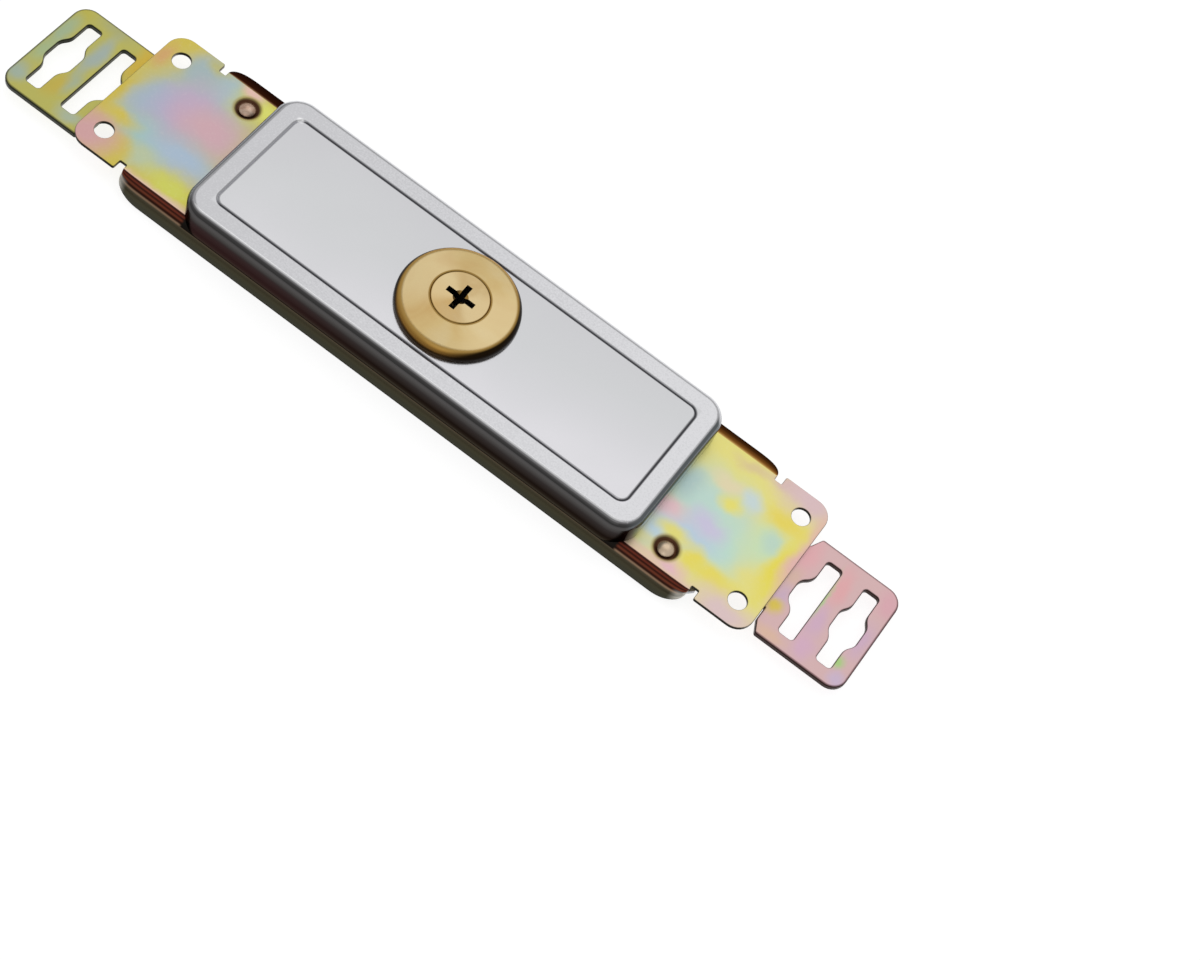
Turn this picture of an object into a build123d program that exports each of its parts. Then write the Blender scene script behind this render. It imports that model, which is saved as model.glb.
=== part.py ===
from build123d import *

import os
from math import acos, cos, pi, radians, sin, sqrt, tan

# Roller shutter lock: a drawn sheet plate with four screw ears, a pressed cover, a turned cylinder
# with a cross keyway, and two flat tongues that a pinion on the cylinder's plug drives apart.
# Millimetres. +X runs along the lock, +Y across it, +Z out of the cylinder's face.
# The origin is on the cylinder's axis, in the plate's front face, midway between the four ear holes.

# Sheets and the layers behind the plate's front face
plate_sheet = 1.2
back_sheet = 1.2
cover_sheet = 1.0
tongue_sheet = 1.6
slide_gap = 0.1
rim_stand = 1.4
skirt_straight = 1.5

# Front plate
plate_length = 209.4
ear_length = 14.9
ear_span = 44.2
ear_corner = 4.8
ear_hole = 5.0
hole_from_end = 6.1
hole_spacing_y = 30.2
notch_width = 2.1
notch_span = 38.8
flat_span = 41.2
pan_corner = 14.0
pan_end_gap = 0.8
pan_overrun = 4.0

# Cover
cover_from_end = 35.2
cover_span = 47.2
cover_height = 8.1
cover_corner = 7.0
cover_edge = 2.3
bead_end_inset = 6.5
bead_side_inset = 6.4
bead_corner = 2.6
bead_width = 1.0
bead_depth = 0.35
tab_width = 4.0
tab_inset = 9.5
tab_reach = 2.6
tab_gap = 0.1

# Cylinder
head_diameter = 32.2
head_height = 4.0
head_edge = 1.6
head_fall = 1.3
barrel_wall = 3.0
thread_wall = 1.5
spigot_flat_depth = 0.8
sleeve_wall = 1.2
nut_rim = 2.5
nut_height = 2.6
nut_slot_width = 3.0
nut_slot_depth = 1.2
nut_slots = 4
fit_gap = 0.05
bolt_gap = 0.3

# Plug and keyway
plug_flange_rim = 1.0
plug_flange_height = 2.5
plug_diameter = 13.0
ring_chamfer = 0.25
tail_step = 1.0
tail_flat_depth = 0.75
tail_flat_angle = 45.0
key_span = 8.2
key_arm = 1.6
key_lead_diameter = 4.0
key_lead_depth = 0.9
clip_sheet = 0.8
clip_rim = 1.0
clip_land = 0.9
clip_mouth = 5.0
clip_axial_gap = 0.1

# Pin chambers
chambers = 4
chamber_first = 1.1
chamber_step = 0.75
pin_diameter = 1.6
key_pin_length = 3.2
key_pin_tip = 0.6
driver_pin_length = 1.1
spring_wire = 0.24
spring_wire_sides = 6
spring_turns = 3.0

# Pinion and racks
gear_module = 1.0
pinion_teeth = 16
pressure_angle = 20.0
dedendum_factor = 1.25
backlash = 0.16
rack_teeth = 10
rack_teeth_outward = 2
flank_steps = 4

# Tongues
tongue_tuck = 3.0
tongue_span = 33.2
tongue_head = 26.5
tongue_corner = 4.3
shoulder_length = 1.7
shoulder_rise = 3.5
left_head_shift = 3.95
right_head_shift = -2.1
rack_strip = 1.65
neck_corner = 4.0
neck_gap = 4.0
slot_from_tip = 7.2
slot_pitch = 11.3
slot_width = 4.4
slot_length = 24.6
slot_corner = 1.0
waist_long = 11.0
waist_short = 6.0
outer_waist = 1.7
inner_waist = 2.8

# Rivets, spacers and guide buttons
rivet_from_end = 27.6
rivet_y = 15.2
rivet_shank = 3.0
rivet_head = 4.4
rivet_rise = 1.25
rivet_tail = 5.0
rivet_tail_depth = 0.9
rivet_chamfer = 0.3
dimple_diameter = 6.9
dimple_floor = 4.9
dimple_depth = 0.7
spacer_diameter = 7.4
button_diameter = 4.4
button_wall = 1.0
button_from_end = 24.0
button_middle = 30.0
button_inner = 12.0

# Layers, from the front face down
tongue_top = -plate_sheet - slide_gap
tongue_bottom = tongue_top - tongue_sheet
back_top = tongue_bottom - slide_gap
back_bottom = back_top - back_sheet
pan_depth = rim_stand - back_bottom
bend_radius = pan_depth - skirt_straight

# Outline of the drawn middle part
plate_half = plate_length / 2
ear_inner = plate_half - ear_length
middle_half = ear_inner - notch_width
pan_trim = ear_inner - pan_end_gap
pan_half = pan_trim + pan_overrun
pan_span = flat_span + 2 * bend_radius

# What keeps its distance from the plate's ends and from the cover's edges
hole_spacing_x = plate_length - 2 * hole_from_end
cover_length = plate_length - 2 * cover_from_end
bead_length = cover_length - 2 * bead_end_inset
bead_span = cover_span - 2 * bead_side_inset
tab_x = cover_length / 2 - cover_sheet / 2
tab_y = cover_span / 2 - tab_inset
rivet_x = plate_half - rivet_from_end
button_places = (plate_half - button_from_end, button_middle, -button_inner)
tongue_reach = plate_half - tongue_tuck + tongue_head

# Diameters that follow from the plug's
plug_flange_diameter = plug_diameter + 2 * plug_flange_rim
clip_diameter = plug_diameter + 2 * clip_rim
tail_diameter = plug_diameter - 2 * tail_step
tail_flats = tail_diameter - 2 * tail_flat_depth
barrel_diameter = plug_diameter + 2 * barrel_wall
spigot_flats = barrel_diameter - 2 * spigot_flat_depth
thread_diameter = barrel_diameter + 2 * thread_wall
nut_diameter = thread_diameter + 2 * nut_rim

# Gear values
pitch_radius = gear_module * pinion_teeth / 2
tooth_pitch = pi * gear_module
root_depth = dedendum_factor * gear_module
rack_tip = pitch_radius - gear_module
rack_root = pitch_radius + root_depth
rack_outer = rack_root + rack_strip
guide_edge = rivet_y - spacer_diameter / 2 - bolt_gap


def box_between(low, high, mode=Mode.ADD):
    """A box from its lowest to its highest corner, in the open part."""
    size = [b - a for a, b in zip(low, high)]
    middle = [(a + b) / 2 for a, b in zip(low, high)]
    with Locations(tuple(middle)):
        Box(*size, mode=mode)


def cut_rod(x, y, radius, low, high, mode=Mode.SUBTRACT):
    """An upright rod of one radius between two heights, in the open part."""
    with Locations((x, y, (low + high) / 2)):
        Cylinder(radius, high - low, mode=mode)


def double_flat(diameter, flats, angle=0.0):
    """A disc with two flats, its flats turned by an angle from the Y direction."""
    Circle(diameter / 2)
    with Locations(Location((0, 0, 0), (0, 0, angle))):
        Rectangle(2 * diameter, flats, mode=Mode.INTERSECT)


# The outer form of the drawn middle part, with a bend round its top.
with BuildPart() as pan_form:
    with BuildSketch(Plane.XY.offset(-pan_depth)):
        RectangleRounded(2 * pan_half, pan_span, pan_corner)
    extrude(amount=pan_depth)
    fillet(pan_form.edges().group_by(Axis.Z)[-1], bend_radius)

# The space inside the drawn plate: the outer form made smaller by one sheet.
with BuildPart() as pan_core:
    with BuildSketch(Plane.XY.offset(-pan_depth)):
        RectangleRounded(
            2 * (pan_half - plate_sheet),
            pan_span - 2 * plate_sheet,
            pan_corner - plate_sheet,
        )
    extrude(amount=pan_depth - plate_sheet)
    fillet(pan_core.edges().group_by(Axis.Z)[-1], bend_radius - plate_sheet)

# Places of the cover's four tabs, on the centre line of its end walls, and of the two rivets.
tab_points = [(sx * tab_x, sy * tab_y) for sx in (-1, 1) for sy in (-1, 1)]
rivet_points = [(-rivet_x, rivet_y), (rivet_x, -rivet_y)]

# Front plate: a flat sheet with ears, its middle part drawn down round both long edges.
with BuildPart() as front_plate:
    add(pan_form.part)
    add(pan_core.part, mode=Mode.SUBTRACT)
    for side in (-1, 1):
        box_between(
            (min(side * pan_trim, side * plate_length), -pan_span, -2 * pan_depth),
            (max(side * pan_trim, side * plate_length), pan_span, pan_depth),
            Mode.SUBTRACT,
        )
    with BuildSketch(Plane.XY.offset(-plate_sheet)) as plate_outline:
        ear_middle = plate_half - ear_length / 2
        with Locations((-ear_middle, 0), (ear_middle, 0)):
            Rectangle(ear_length, ear_span)
        fillet(plate_outline.vertices().group_by(Axis.X)[0], ear_corner)
        fillet(plate_outline.vertices().group_by(Axis.X)[-1], ear_corner)
        Rectangle(2 * ear_inner, notch_span)
        Rectangle(2 * middle_half, flat_span)
    extrude(amount=plate_sheet)

    # Dimples that the rivet heads sit in: the sheet keeps its thickness on the sloping wall.
    dimple_run = (dimple_diameter - dimple_floor) / 2
    dimple_slope = sqrt(dimple_run**2 + dimple_depth**2)
    wall_shift = plate_sheet * (dimple_slope - dimple_run) / dimple_depth
    for x, y in rivet_points:
        with BuildSketch(Plane.XY.offset(-plate_sheet)):
            with Locations((x, y)):
                Circle(dimple_diameter / 2 + wall_shift)
        with BuildSketch(Plane.XY.offset(-plate_sheet - dimple_depth)):
            with Locations((x, y)):
                Circle(dimple_floor / 2 + wall_shift)
        loft()
        with BuildSketch(Plane.XY):
            with Locations((x, y)):
                Circle(dimple_diameter / 2)
        with BuildSketch(Plane.XY.offset(-dimple_depth)):
            with Locations((x, y)):
                Circle(dimple_floor / 2)
        loft(mode=Mode.SUBTRACT)
        cut_rod(x, y, rivet_shank / 2, -pan_depth, plate_sheet)

    # Ear holes, the seat of the cylinder's flatted spigot, and slots for the cover's tabs.
    with BuildSketch(Plane.XY):
        with GridLocations(hole_spacing_x, hole_spacing_y, 2, 2):
            Circle(ear_hole / 2)
    extrude(amount=-plate_sheet, mode=Mode.SUBTRACT)
    with BuildSketch(Plane.XY):
        double_flat(barrel_diameter + 2 * fit_gap, spigot_flats + 2 * fit_gap)
    extrude(amount=-plate_sheet, mode=Mode.SUBTRACT)
    with BuildSketch(Plane.XY):
        with Locations(*tab_points):
            Rectangle(cover_sheet + 2 * tab_gap, tab_width + 2 * tab_gap)
    extrude(amount=-plate_sheet, mode=Mode.SUBTRACT)
front_plate.part.label = "front_plate"

# Back plate: a flat sheet inside the drawn rim, with pressed cups that guide the tongues.
button_y = rack_outer + bolt_gap + button_diameter / 2
button_points = [(x, button_y) for x in button_places] + [(-x, -button_y) for x in button_places]
button_height = tongue_sheet + slide_gap
bend_inner = bend_radius - plate_sheet
back_rise = max(0, back_top + bend_radius)
back_inset = bend_radius - sqrt(bend_inner**2 - back_rise**2) + fit_gap
with BuildPart() as back_plate:
    with BuildSketch(Plane.XY.offset(back_bottom)):
        RectangleRounded(
            2 * (pan_half - back_inset),
            pan_span - 2 * back_inset,
            pan_corner - back_inset,
        )
        Rectangle(2 * (pan_trim - slide_gap), pan_span, mode=Mode.INTERSECT)
    extrude(amount=back_sheet)
    for x, y in button_points:
        cup_radius = button_diameter / 2 - button_wall
        cut_rod(x, y, button_diameter / 2, back_top, back_top + button_height, Mode.ADD)
        cut_rod(x, y, cup_radius, back_bottom, back_top + button_height - button_wall)
    cut_rod(0, 0, tail_diameter / 2 + fit_gap, back_bottom, back_top)
    for x, y in rivet_points:
        cut_rod(x, y, rivet_shank / 2, back_bottom, back_top)
        with BuildSketch(Plane.XY.offset(back_bottom)):
            with Locations((x, y)):
                Circle(rivet_tail / 2)
        with BuildSketch(Plane.XY.offset(back_bottom + rivet_tail_depth)):
            with Locations((x, y)):
                Circle(rivet_shank / 2)
        loft(mode=Mode.SUBTRACT)
back_plate.part.label = "back_plate"

# The space inside the cover: the outer form made smaller by one sheet.
with BuildPart() as cover_core:
    with BuildSketch(Plane.XY.offset(-bend_radius)):
        RectangleRounded(
            cover_length - 2 * cover_sheet,
            cover_span - 2 * cover_sheet,
            cover_corner - cover_sheet,
        )
    extrude(amount=cover_height - cover_sheet + bend_radius)
    fillet(cover_core.edges().group_by(Axis.Z)[-1], cover_edge - cover_sheet)


def bead_ring(spread):
    """The plan of the pressed line round the cover's face, wider on both sides by a spread."""
    outer = bead_width / 2 + spread
    RectangleRounded(bead_length + 2 * outer, bead_span + 2 * outer, bead_corner + outer)
    RectangleRounded(
        bead_length - 2 * outer,
        bead_span - 2 * outer,
        bead_corner - outer,
        mode=Mode.SUBTRACT,
    )


# Cover: a drawn box with a rounded rim, a pressed line round its face and four bent tabs.
# Its long walls stand on the plate's bend and are trimmed to it.
with BuildPart() as cover:
    with BuildSketch(Plane.XY.offset(-bend_radius)):
        RectangleRounded(cover_length, cover_span, cover_corner)
    extrude(amount=cover_height + bend_radius)
    fillet(cover.edges().group_by(Axis.Z)[-1], cover_edge)
    add(cover_core.part, mode=Mode.SUBTRACT)
    add(pan_form.part, mode=Mode.SUBTRACT)
    with BuildSketch(Plane.XY.offset(cover_height - cover_sheet - bead_depth)):
        bead_ring(bead_depth)
    extrude(amount=bead_depth)
    with BuildSketch(Plane.XY.offset(cover_height)):
        bead_ring(0)
    extrude(amount=-bead_depth, mode=Mode.SUBTRACT)
    cut_rod(0, 0, thread_diameter / 2 + fit_gap, 0, cover_height)
    foot_top = -plate_sheet - tab_gap
    for x, y in tab_points:
        side = 1 if x > 0 else -1
        outer_x = side * cover_length / 2
        inner_x = side * (cover_length / 2 - cover_sheet)
        foot_x = side * (cover_length / 2 - cover_sheet - tab_reach)
        box_between(
            (min(outer_x, inner_x), y - tab_width / 2, foot_top - cover_sheet),
            (max(outer_x, inner_x), y + tab_width / 2, 0),
        )
        box_between(
            (min(foot_x, inner_x), y - tab_width / 2, foot_top - cover_sheet),
            (max(foot_x, inner_x), y + tab_width / 2, foot_top),
        )
cover.part.label = "cover"

# Heights along the cylinder
head_top = cover_height + head_height
flange_seat = head_top - plug_flange_height
thread_end = cover_height - cover_sheet - nut_height
sleeve_top = thread_end - tab_gap
spigot_end = -plate_sheet + fit_gap
clip_seat = spigot_end + clip_sheet + 2 * clip_axial_gap
chamber_radius = pin_diameter / 2 + fit_gap
plug_radius = plug_diameter / 2
barrel_radius = barrel_diameter / 2


def chamber_plane(index):
    """The plane at the axis whose normal points out along one pin chamber."""
    angle = index * 2 * pi / chambers
    height = chamber_first + index * chamber_step
    return Plane(origin=(0, 0, height), x_dir=(0, 0, 1), z_dir=(cos(angle), sin(angle), 0))


# Cylinder body: a turned head, a threaded neck, a barrel for the pins and a flatted spigot.
with BuildPart() as cylinder_body:
    with BuildSketch(Plane.XZ) as body_section:
        with BuildLine():
            Polyline(
                (plug_radius + fit_gap, flange_seat),
                (plug_flange_diameter / 2 + fit_gap, flange_seat),
                (plug_flange_diameter / 2 + fit_gap, head_top - ring_chamfer),
                (plug_flange_diameter / 2 + fit_gap + ring_chamfer, head_top),
                (head_diameter / 2, head_top - head_fall),
                (head_diameter / 2, cover_height),
                (thread_diameter / 2, cover_height),
                (thread_diameter / 2, thread_end),
                (barrel_radius, thread_end),
                (barrel_radius, spigot_end),
                (clip_diameter / 2 + clip_axial_gap, spigot_end),
                (clip_diameter / 2 + clip_axial_gap, clip_seat),
                (plug_radius + fit_gap, clip_seat),
                close=True,
            )
        make_face()
        rim_corners = body_section.vertices().group_by(Axis.X)[-1]
        fillet(rim_corners.sort_by(Axis.Y)[-1], head_edge)
    revolve(axis=Axis.Z)
    with BuildSketch(Plane.XY.offset(spigot_end)):
        Circle(barrel_radius + fit_gap)
        Rectangle(2 * barrel_diameter, spigot_flats, mode=Mode.SUBTRACT)
    extrude(amount=-spigot_end, mode=Mode.SUBTRACT)
    for index in range(chambers):
        with BuildSketch(chamber_plane(index)):
            Circle(chamber_radius)
        extrude(amount=barrel_diameter, mode=Mode.SUBTRACT)
cylinder_body.part.label = "cylinder_body"

# Sleeve: a tube pressed over the barrel, which closes the pin chambers and stands on the plate.
with BuildPart() as cylinder_sleeve:
    with BuildSketch(Plane.XY):
        Circle(barrel_radius + sleeve_wall)
        Circle(barrel_radius, mode=Mode.SUBTRACT)
    extrude(amount=sleeve_top)
cylinder_sleeve.part.label = "cylinder_sleeve"

# Nut: a slotted round nut on the neck, which pulls the head down on the cover.
with BuildPart() as cylinder_nut:
    with BuildSketch(Plane.XY.offset(thread_end)):
        Circle(nut_diameter / 2)
        Circle(thread_diameter / 2, mode=Mode.SUBTRACT)
        with PolarLocations(nut_diameter / 2, nut_slots):
            Rectangle(2 * nut_slot_depth, nut_slot_width, mode=Mode.SUBTRACT)
    extrude(amount=nut_height)
cylinder_nut.part.label = "cylinder_nut"

# Plug: the part that the key turns, with a flange in the head and a flatted tail for the pinion.
plug_end = tongue_top + slide_gap / 2
clip_groove = plug_radius - clip_land
groove_top = clip_seat - clip_axial_gap + fit_gap
groove_bottom = groove_top - clip_sheet - 2 * fit_gap
with BuildPart() as cylinder_plug:
    with BuildSketch(Plane.XZ):
        with BuildLine():
            Polyline(
                (0, head_top),
                (plug_flange_diameter / 2 - ring_chamfer, head_top),
                (plug_flange_diameter / 2, head_top - ring_chamfer),
                (plug_flange_diameter / 2, flange_seat + fit_gap),
                (plug_radius, flange_seat + fit_gap),
                (plug_radius, groove_top),
                (clip_groove, groove_top),
                (clip_groove, groove_bottom),
                (plug_radius, groove_bottom),
                (plug_radius, plug_end),
                (0, plug_end),
                close=True,
            )
        make_face()
    revolve(axis=Axis.Z)
    with BuildSketch(Plane.XY.offset(plug_end)):
        double_flat(tail_diameter, tail_flats, tail_flat_angle)
    extrude(amount=back_bottom - plug_end)
    with BuildSketch(Plane.XY.offset(back_bottom)):
        Rectangle(key_span, key_arm)
        Rectangle(key_arm, key_span)
    extrude(amount=head_top - back_bottom, mode=Mode.SUBTRACT)
    with BuildSketch(Plane.XY.offset(head_top)):
        Circle(key_lead_diameter / 2)
    with BuildSketch(Plane.XY.offset(head_top - key_lead_depth)):
        Circle(key_arm / 2)
    loft(mode=Mode.SUBTRACT)
    for index in range(chambers):
        with BuildSketch(chamber_plane(index)):
            Circle(chamber_radius)
        extrude(amount=plug_diameter, mode=Mode.SUBTRACT)
cylinder_plug.part.label = "cylinder_plug"

# Clip: an open ring in the plug's groove, which keeps the plug from being pulled out of the head.
with BuildPart() as plug_clip:
    with BuildSketch(Plane.XY.offset(groove_bottom + fit_gap)):
        Circle(clip_diameter / 2)
        Circle(clip_groove + fit_gap, mode=Mode.SUBTRACT)
        with Locations((clip_diameter / 2, 0)):
            Rectangle(clip_diameter, clip_mouth, mode=Mode.SUBTRACT)
    extrude(amount=clip_sheet)
plug_clip.part.label = "plug_clip"


def involute(angle):
    """The involute function of a pressure angle, in radians."""
    return tan(angle) - angle


def flank_point(radius, side):
    """The point of a pinion tooth's flank at a radius, for a tooth along +X."""
    turned = acos(min(1, base_radius / radius))
    half_tooth = pi / (2 * pinion_teeth) - backlash / (4 * pitch_radius)
    angle = half_tooth + involute(radians(pressure_angle)) - involute(turned)
    return (radius * cos(angle), side * radius * sin(angle))


# One pinion tooth along +X: involute flanks out from the base circle, straight ones in to the root.
base_radius = pitch_radius * cos(radians(pressure_angle))
pinion_root = pitch_radius - root_depth
pinion_tip = pitch_radius + gear_module
flank_rise = (pinion_tip - base_radius) / flank_steps
flank_radii = [base_radius + i * flank_rise for i in range(flank_steps + 1)]
with BuildSketch() as pinion_tooth:
    with BuildLine():
        upper = [flank_point(radius, 1) for radius in flank_radii]
        lower = [flank_point(radius, -1) for radius in flank_radii]
        Spline(*upper)
        Line(upper[-1], lower[-1])
        Spline(*lower)
        Polyline(lower[0], (0, lower[0][1]), (0, upper[0][1]), upper[0])
    make_face()

# Pinion: an involute spur wheel on the plug's flatted tail, with a tooth towards each rack at rest.
with BuildPart() as drive_pinion:
    with BuildSketch(Plane.XY.offset(tongue_bottom)):
        Circle(pinion_root)
        with PolarLocations(0, pinion_teeth):
            add(pinion_tooth.sketch)
    extrude(amount=tongue_sheet)
    with BuildSketch(Plane.XY.offset(tongue_bottom)):
        double_flat(tail_diameter + 2 * fit_gap, tail_flats + 2 * fit_gap, tail_flat_angle)
    extrude(amount=tongue_sheet, mode=Mode.SUBTRACT)
drive_pinion.part.label = "drive_pinion"


def rack_tooth(middle):
    """A straight-sided rack tooth whose tip points at the pinion, centred at one X."""
    slope = tan(radians(pressure_angle))
    half_pitch_line = tooth_pitch / 4 - backlash / 4
    half_tip = half_pitch_line - gear_module * slope
    half_foot = half_pitch_line + root_depth * slope
    Polygon(
        (middle - half_foot, rack_root),
        (middle - half_tip, rack_tip),
        (middle + half_tip, rack_tip),
        (middle + half_foot, rack_root),
        align=None,
    )


def bar_slot(middle, shift, inward, outward):
    """A slot across the tongue's head, with a short waist towards the lock and towards the tip."""
    with Locations((middle, shift)):
        RectangleRounded(slot_width, slot_length, slot_corner, mode=Mode.SUBTRACT)
        for side, depth in ((-1, inward), (1, outward)):
            if depth:
                edge = side * (slot_width / 2 + depth)
                Polygon(
                    (0, -waist_long / 2),
                    (side * slot_width / 2, -waist_long / 2),
                    (edge, -waist_short / 2),
                    (edge, waist_short / 2),
                    (side * slot_width / 2, waist_long / 2),
                    (0, waist_long / 2),
                    align=None,
                    mode=Mode.SUBTRACT,
                )


def build_tongue(side, lead, shift):
    """A blanked tongue: a slotted head, a neck past the rivet's spacer, and a rack past the plug."""
    tip = tongue_reach + lead
    head_start = tip - tongue_head
    head_low = shift - tongue_span / 2
    head_high = shift + tongue_span / 2
    neck_high = max(rack_outer, head_high - shoulder_rise)
    neck_low = min(-guide_edge, head_low + shoulder_rise)
    rack_start = lead - (rack_teeth - rack_teeth_outward) * tooth_pitch
    neck_start = lead + (rack_teeth - rack_teeth_outward) * tooth_pitch + neck_gap
    plane = Plane(origin=(0, 0, tongue_bottom), x_dir=(side, 0, 0), z_dir=(0, 0, 1))
    with BuildPart() as tongue:
        with BuildSketch(plane) as outline:
            Polygon(
                (head_start, neck_low),
                (head_start + shoulder_length, head_low),
                (tip, head_low),
                (tip, head_high),
                (head_start + shoulder_length, head_high),
                (head_start, neck_high),
                align=None,
            )
            fillet(outline.vertices().group_by(Axis.X)[-1], tongue_corner)
            Polygon(
                (neck_start, -guide_edge),
                (head_start, -guide_edge),
                (head_start, rack_outer),
                (neck_start, rack_outer),
                align=None,
            )
            Polygon(
                (rack_start, rack_root),
                (neck_start, rack_root),
                (neck_start, rack_outer),
                (rack_start, rack_outer),
                align=None,
            )
            inner_corners = outline.vertices().filter_by(lambda v: abs(v.X - neck_start) < slide_gap)
            fillet(inner_corners.sort_by(Axis.Y)[0], neck_corner)
            for index in range(rack_teeth):
                place = index - (rack_teeth - rack_teeth_outward) + 1 / 2
                rack_tooth(lead + place * tooth_pitch)
            bar_slot(tip - slot_from_tip, shift, outer_waist, outer_waist)
            bar_slot(tip - slot_from_tip - slot_pitch, shift, inner_waist, 0)
        extrude(amount=tongue_sheet)
    return tongue.part


# Tongues: their racks face the pinion from both sides, and each head stands off to one side by its
# own shift. The right one is meshed one tooth further out.
left_tongue = build_tongue(-1, 0, left_head_shift)
left_tongue.label = "left_tongue"
right_tongue = build_tongue(1, tooth_pitch, right_head_shift)
right_tongue.label = "right_tongue"


def build_spacer(x, y):
    """A short tube round a rivet, between the dimple's back and the back plate."""
    with BuildPart() as spacer:
        with BuildSketch(Plane.XY.offset(back_top)):
            with Locations((x, y)):
                Circle(spacer_diameter / 2)
                Circle(rivet_shank / 2, mode=Mode.SUBTRACT)
        extrude(amount=-plate_sheet - dimple_depth - back_top)
    return spacer.part


def build_rivet(x, y):
    """A domed rivet in the plate's dimple, its tail set flush into the back plate's countersink."""
    head_floor = -dimple_depth
    dome_top = head_floor + rivet_rise
    tail_start = back_bottom + rivet_tail_depth
    with BuildPart() as rivet:
        with BuildSketch(Plane(origin=(x, y, 0), x_dir=(1, 0, 0), z_dir=(0, -1, 0))):
            with BuildLine():
                Polyline(
                    (0, dome_top),
                    (0, back_bottom),
                    (rivet_tail / 2, back_bottom),
                    (rivet_shank / 2, tail_start),
                    (rivet_shank / 2, head_floor),
                    (rivet_head / 2, head_floor),
                )
                dome_side = (rivet_head / 2, head_floor + rivet_chamfer)
                Line((rivet_head / 2, head_floor), dome_side)
                ThreePointArc(dome_side, dome_middle, (0, dome_top))
            make_face()
        revolve(axis=Axis((x, y, 0), (0, 0, 1)))
    return rivet.part


# The dome's arc passes this point, half way out.
dome_height = rivet_rise - rivet_chamfer
dome_radius = (rivet_head**2 / 4 + dome_height**2) / (2 * dome_height)
dome_centre = rivet_rise - dimple_depth - dome_radius
dome_middle = (rivet_head / 4, dome_centre + sqrt(dome_radius**2 - rivet_head**2 / 16))

# Rivets and spacers: one of each on a diagonal, beside the neck of each tongue.
small_parts = []
for name, (x, y) in zip(("left", "right"), rivet_points):
    spacer = build_spacer(x, y)
    spacer.label = f"{name}_spacer"
    rivet = build_rivet(x, y)
    rivet.label = f"{name}_rivet"
    small_parts += [spacer, rivet]


def build_key_pin(index):
    """A key pin in the plug, its blunt point in the keyway and its end at the shear line."""
    plane = chamber_plane(index)
    inner = plug_radius - key_pin_length
    with BuildPart() as pin:
        with BuildSketch(plane.offset(inner)):
            Circle(pin_diameter / 2 - key_pin_tip / 2)
        with BuildSketch(plane.offset(inner + key_pin_tip)):
            Circle(pin_diameter / 2)
        loft()
        with BuildSketch(plane.offset(inner + key_pin_tip)):
            Circle(pin_diameter / 2)
        extrude(amount=key_pin_length - key_pin_tip)
    return pin.part


def build_driver_pin(index):
    """A driver pin in the barrel, from the shear line out."""
    with BuildPart() as pin:
        with BuildSketch(chamber_plane(index).offset(plug_radius + 2 * fit_gap)):
            Circle(pin_diameter / 2)
        extrude(amount=driver_pin_length)
    return pin.part


def build_spring(index):
    """A coil spring between a driver pin and the sleeve, its wire with six sides."""
    start = plug_radius + 2 * fit_gap + driver_pin_length + spring_wire
    height = barrel_radius - spring_wire - start
    foot = chamber_plane(index).offset(start)
    with BuildPart() as spring:
        with BuildLine() as coil:
            Helix(
                height / spring_turns,
                height,
                pin_diameter / 2 - spring_wire / 2,
                center=foot.origin,
                direction=foot.z_dir,
            )
        with BuildSketch(Plane(origin=coil.line @ 0, z_dir=coil.line % 0)):
            RegularPolygon(spring_wire / 2, spring_wire_sides)
        sweep()
    return spring.part


# Pins and springs, one set for each arm of the keyway.
for index in range(chambers):
    for name, build in (
        ("key_pin", build_key_pin),
        ("driver_pin", build_driver_pin),
        ("pin_spring", build_spring),
    ):
        piece = build(index)
        piece.label = f"{name}_{index + 1}"
        small_parts.append(piece)

# One STEP file for each piece, named after it.
os.makedirs("parts", exist_ok=True)
turned_and_pressed = [
    front_plate,
    back_plate,
    cover,
    cylinder_body,
    cylinder_sleeve,
    cylinder_nut,
    cylinder_plug,
    plug_clip,
    drive_pinion,
]
for piece in [block.part for block in turned_and_pressed] + [left_tongue, right_tongue] + small_parts:
    export_step(piece, f"parts/{piece.label}.step")
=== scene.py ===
from math import cos, pi, radians, sin, sqrt, tan

import bmesh
import bpy
import numpy as np
from mathutils import Matrix, Vector
from mathutils.geometry import delaunay_2d_cdt


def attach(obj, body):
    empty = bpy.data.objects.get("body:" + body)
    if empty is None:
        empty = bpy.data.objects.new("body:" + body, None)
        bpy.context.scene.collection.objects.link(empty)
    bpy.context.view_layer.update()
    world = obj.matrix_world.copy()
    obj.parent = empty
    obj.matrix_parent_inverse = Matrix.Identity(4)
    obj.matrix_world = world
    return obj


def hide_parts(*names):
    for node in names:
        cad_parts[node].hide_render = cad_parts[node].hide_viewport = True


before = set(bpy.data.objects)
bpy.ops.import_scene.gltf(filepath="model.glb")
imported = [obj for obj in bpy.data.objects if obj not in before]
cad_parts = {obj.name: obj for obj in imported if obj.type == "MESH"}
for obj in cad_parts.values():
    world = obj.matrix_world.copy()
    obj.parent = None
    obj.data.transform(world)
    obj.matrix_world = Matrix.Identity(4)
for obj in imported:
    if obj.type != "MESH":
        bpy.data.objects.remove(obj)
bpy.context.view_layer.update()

# Front plate: one sheet of steel, 1.2 mm thick, blanked with four screw ears and notches, its middle
# part drawn down round both long edges and dimpled for the rivets. Zinc plated and passivated yellow,
# which leaves rainbow bands.
plate_half = 104.7
ear_inner = 89.8
middle_half = 87.7
notch_half = 19.4
ear_half = 22.1
ear_corner = 4.8
ear_hole_x = 98.6
ear_hole_y = 15.1
ear_hole_radius = 2.5
spigot_hole_radius = 9.55
flat_half = 20.6
plate_sheet = 1.2
bend_radius = 4.1
rim_low = -5.6
rim_turn = 79.5
rim_tip = 87.65
rim_rise = 0.83
rivet_places = [(-77.1, 15.2), (77.1, -15.2)]
dimple_radius = 3.45
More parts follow.
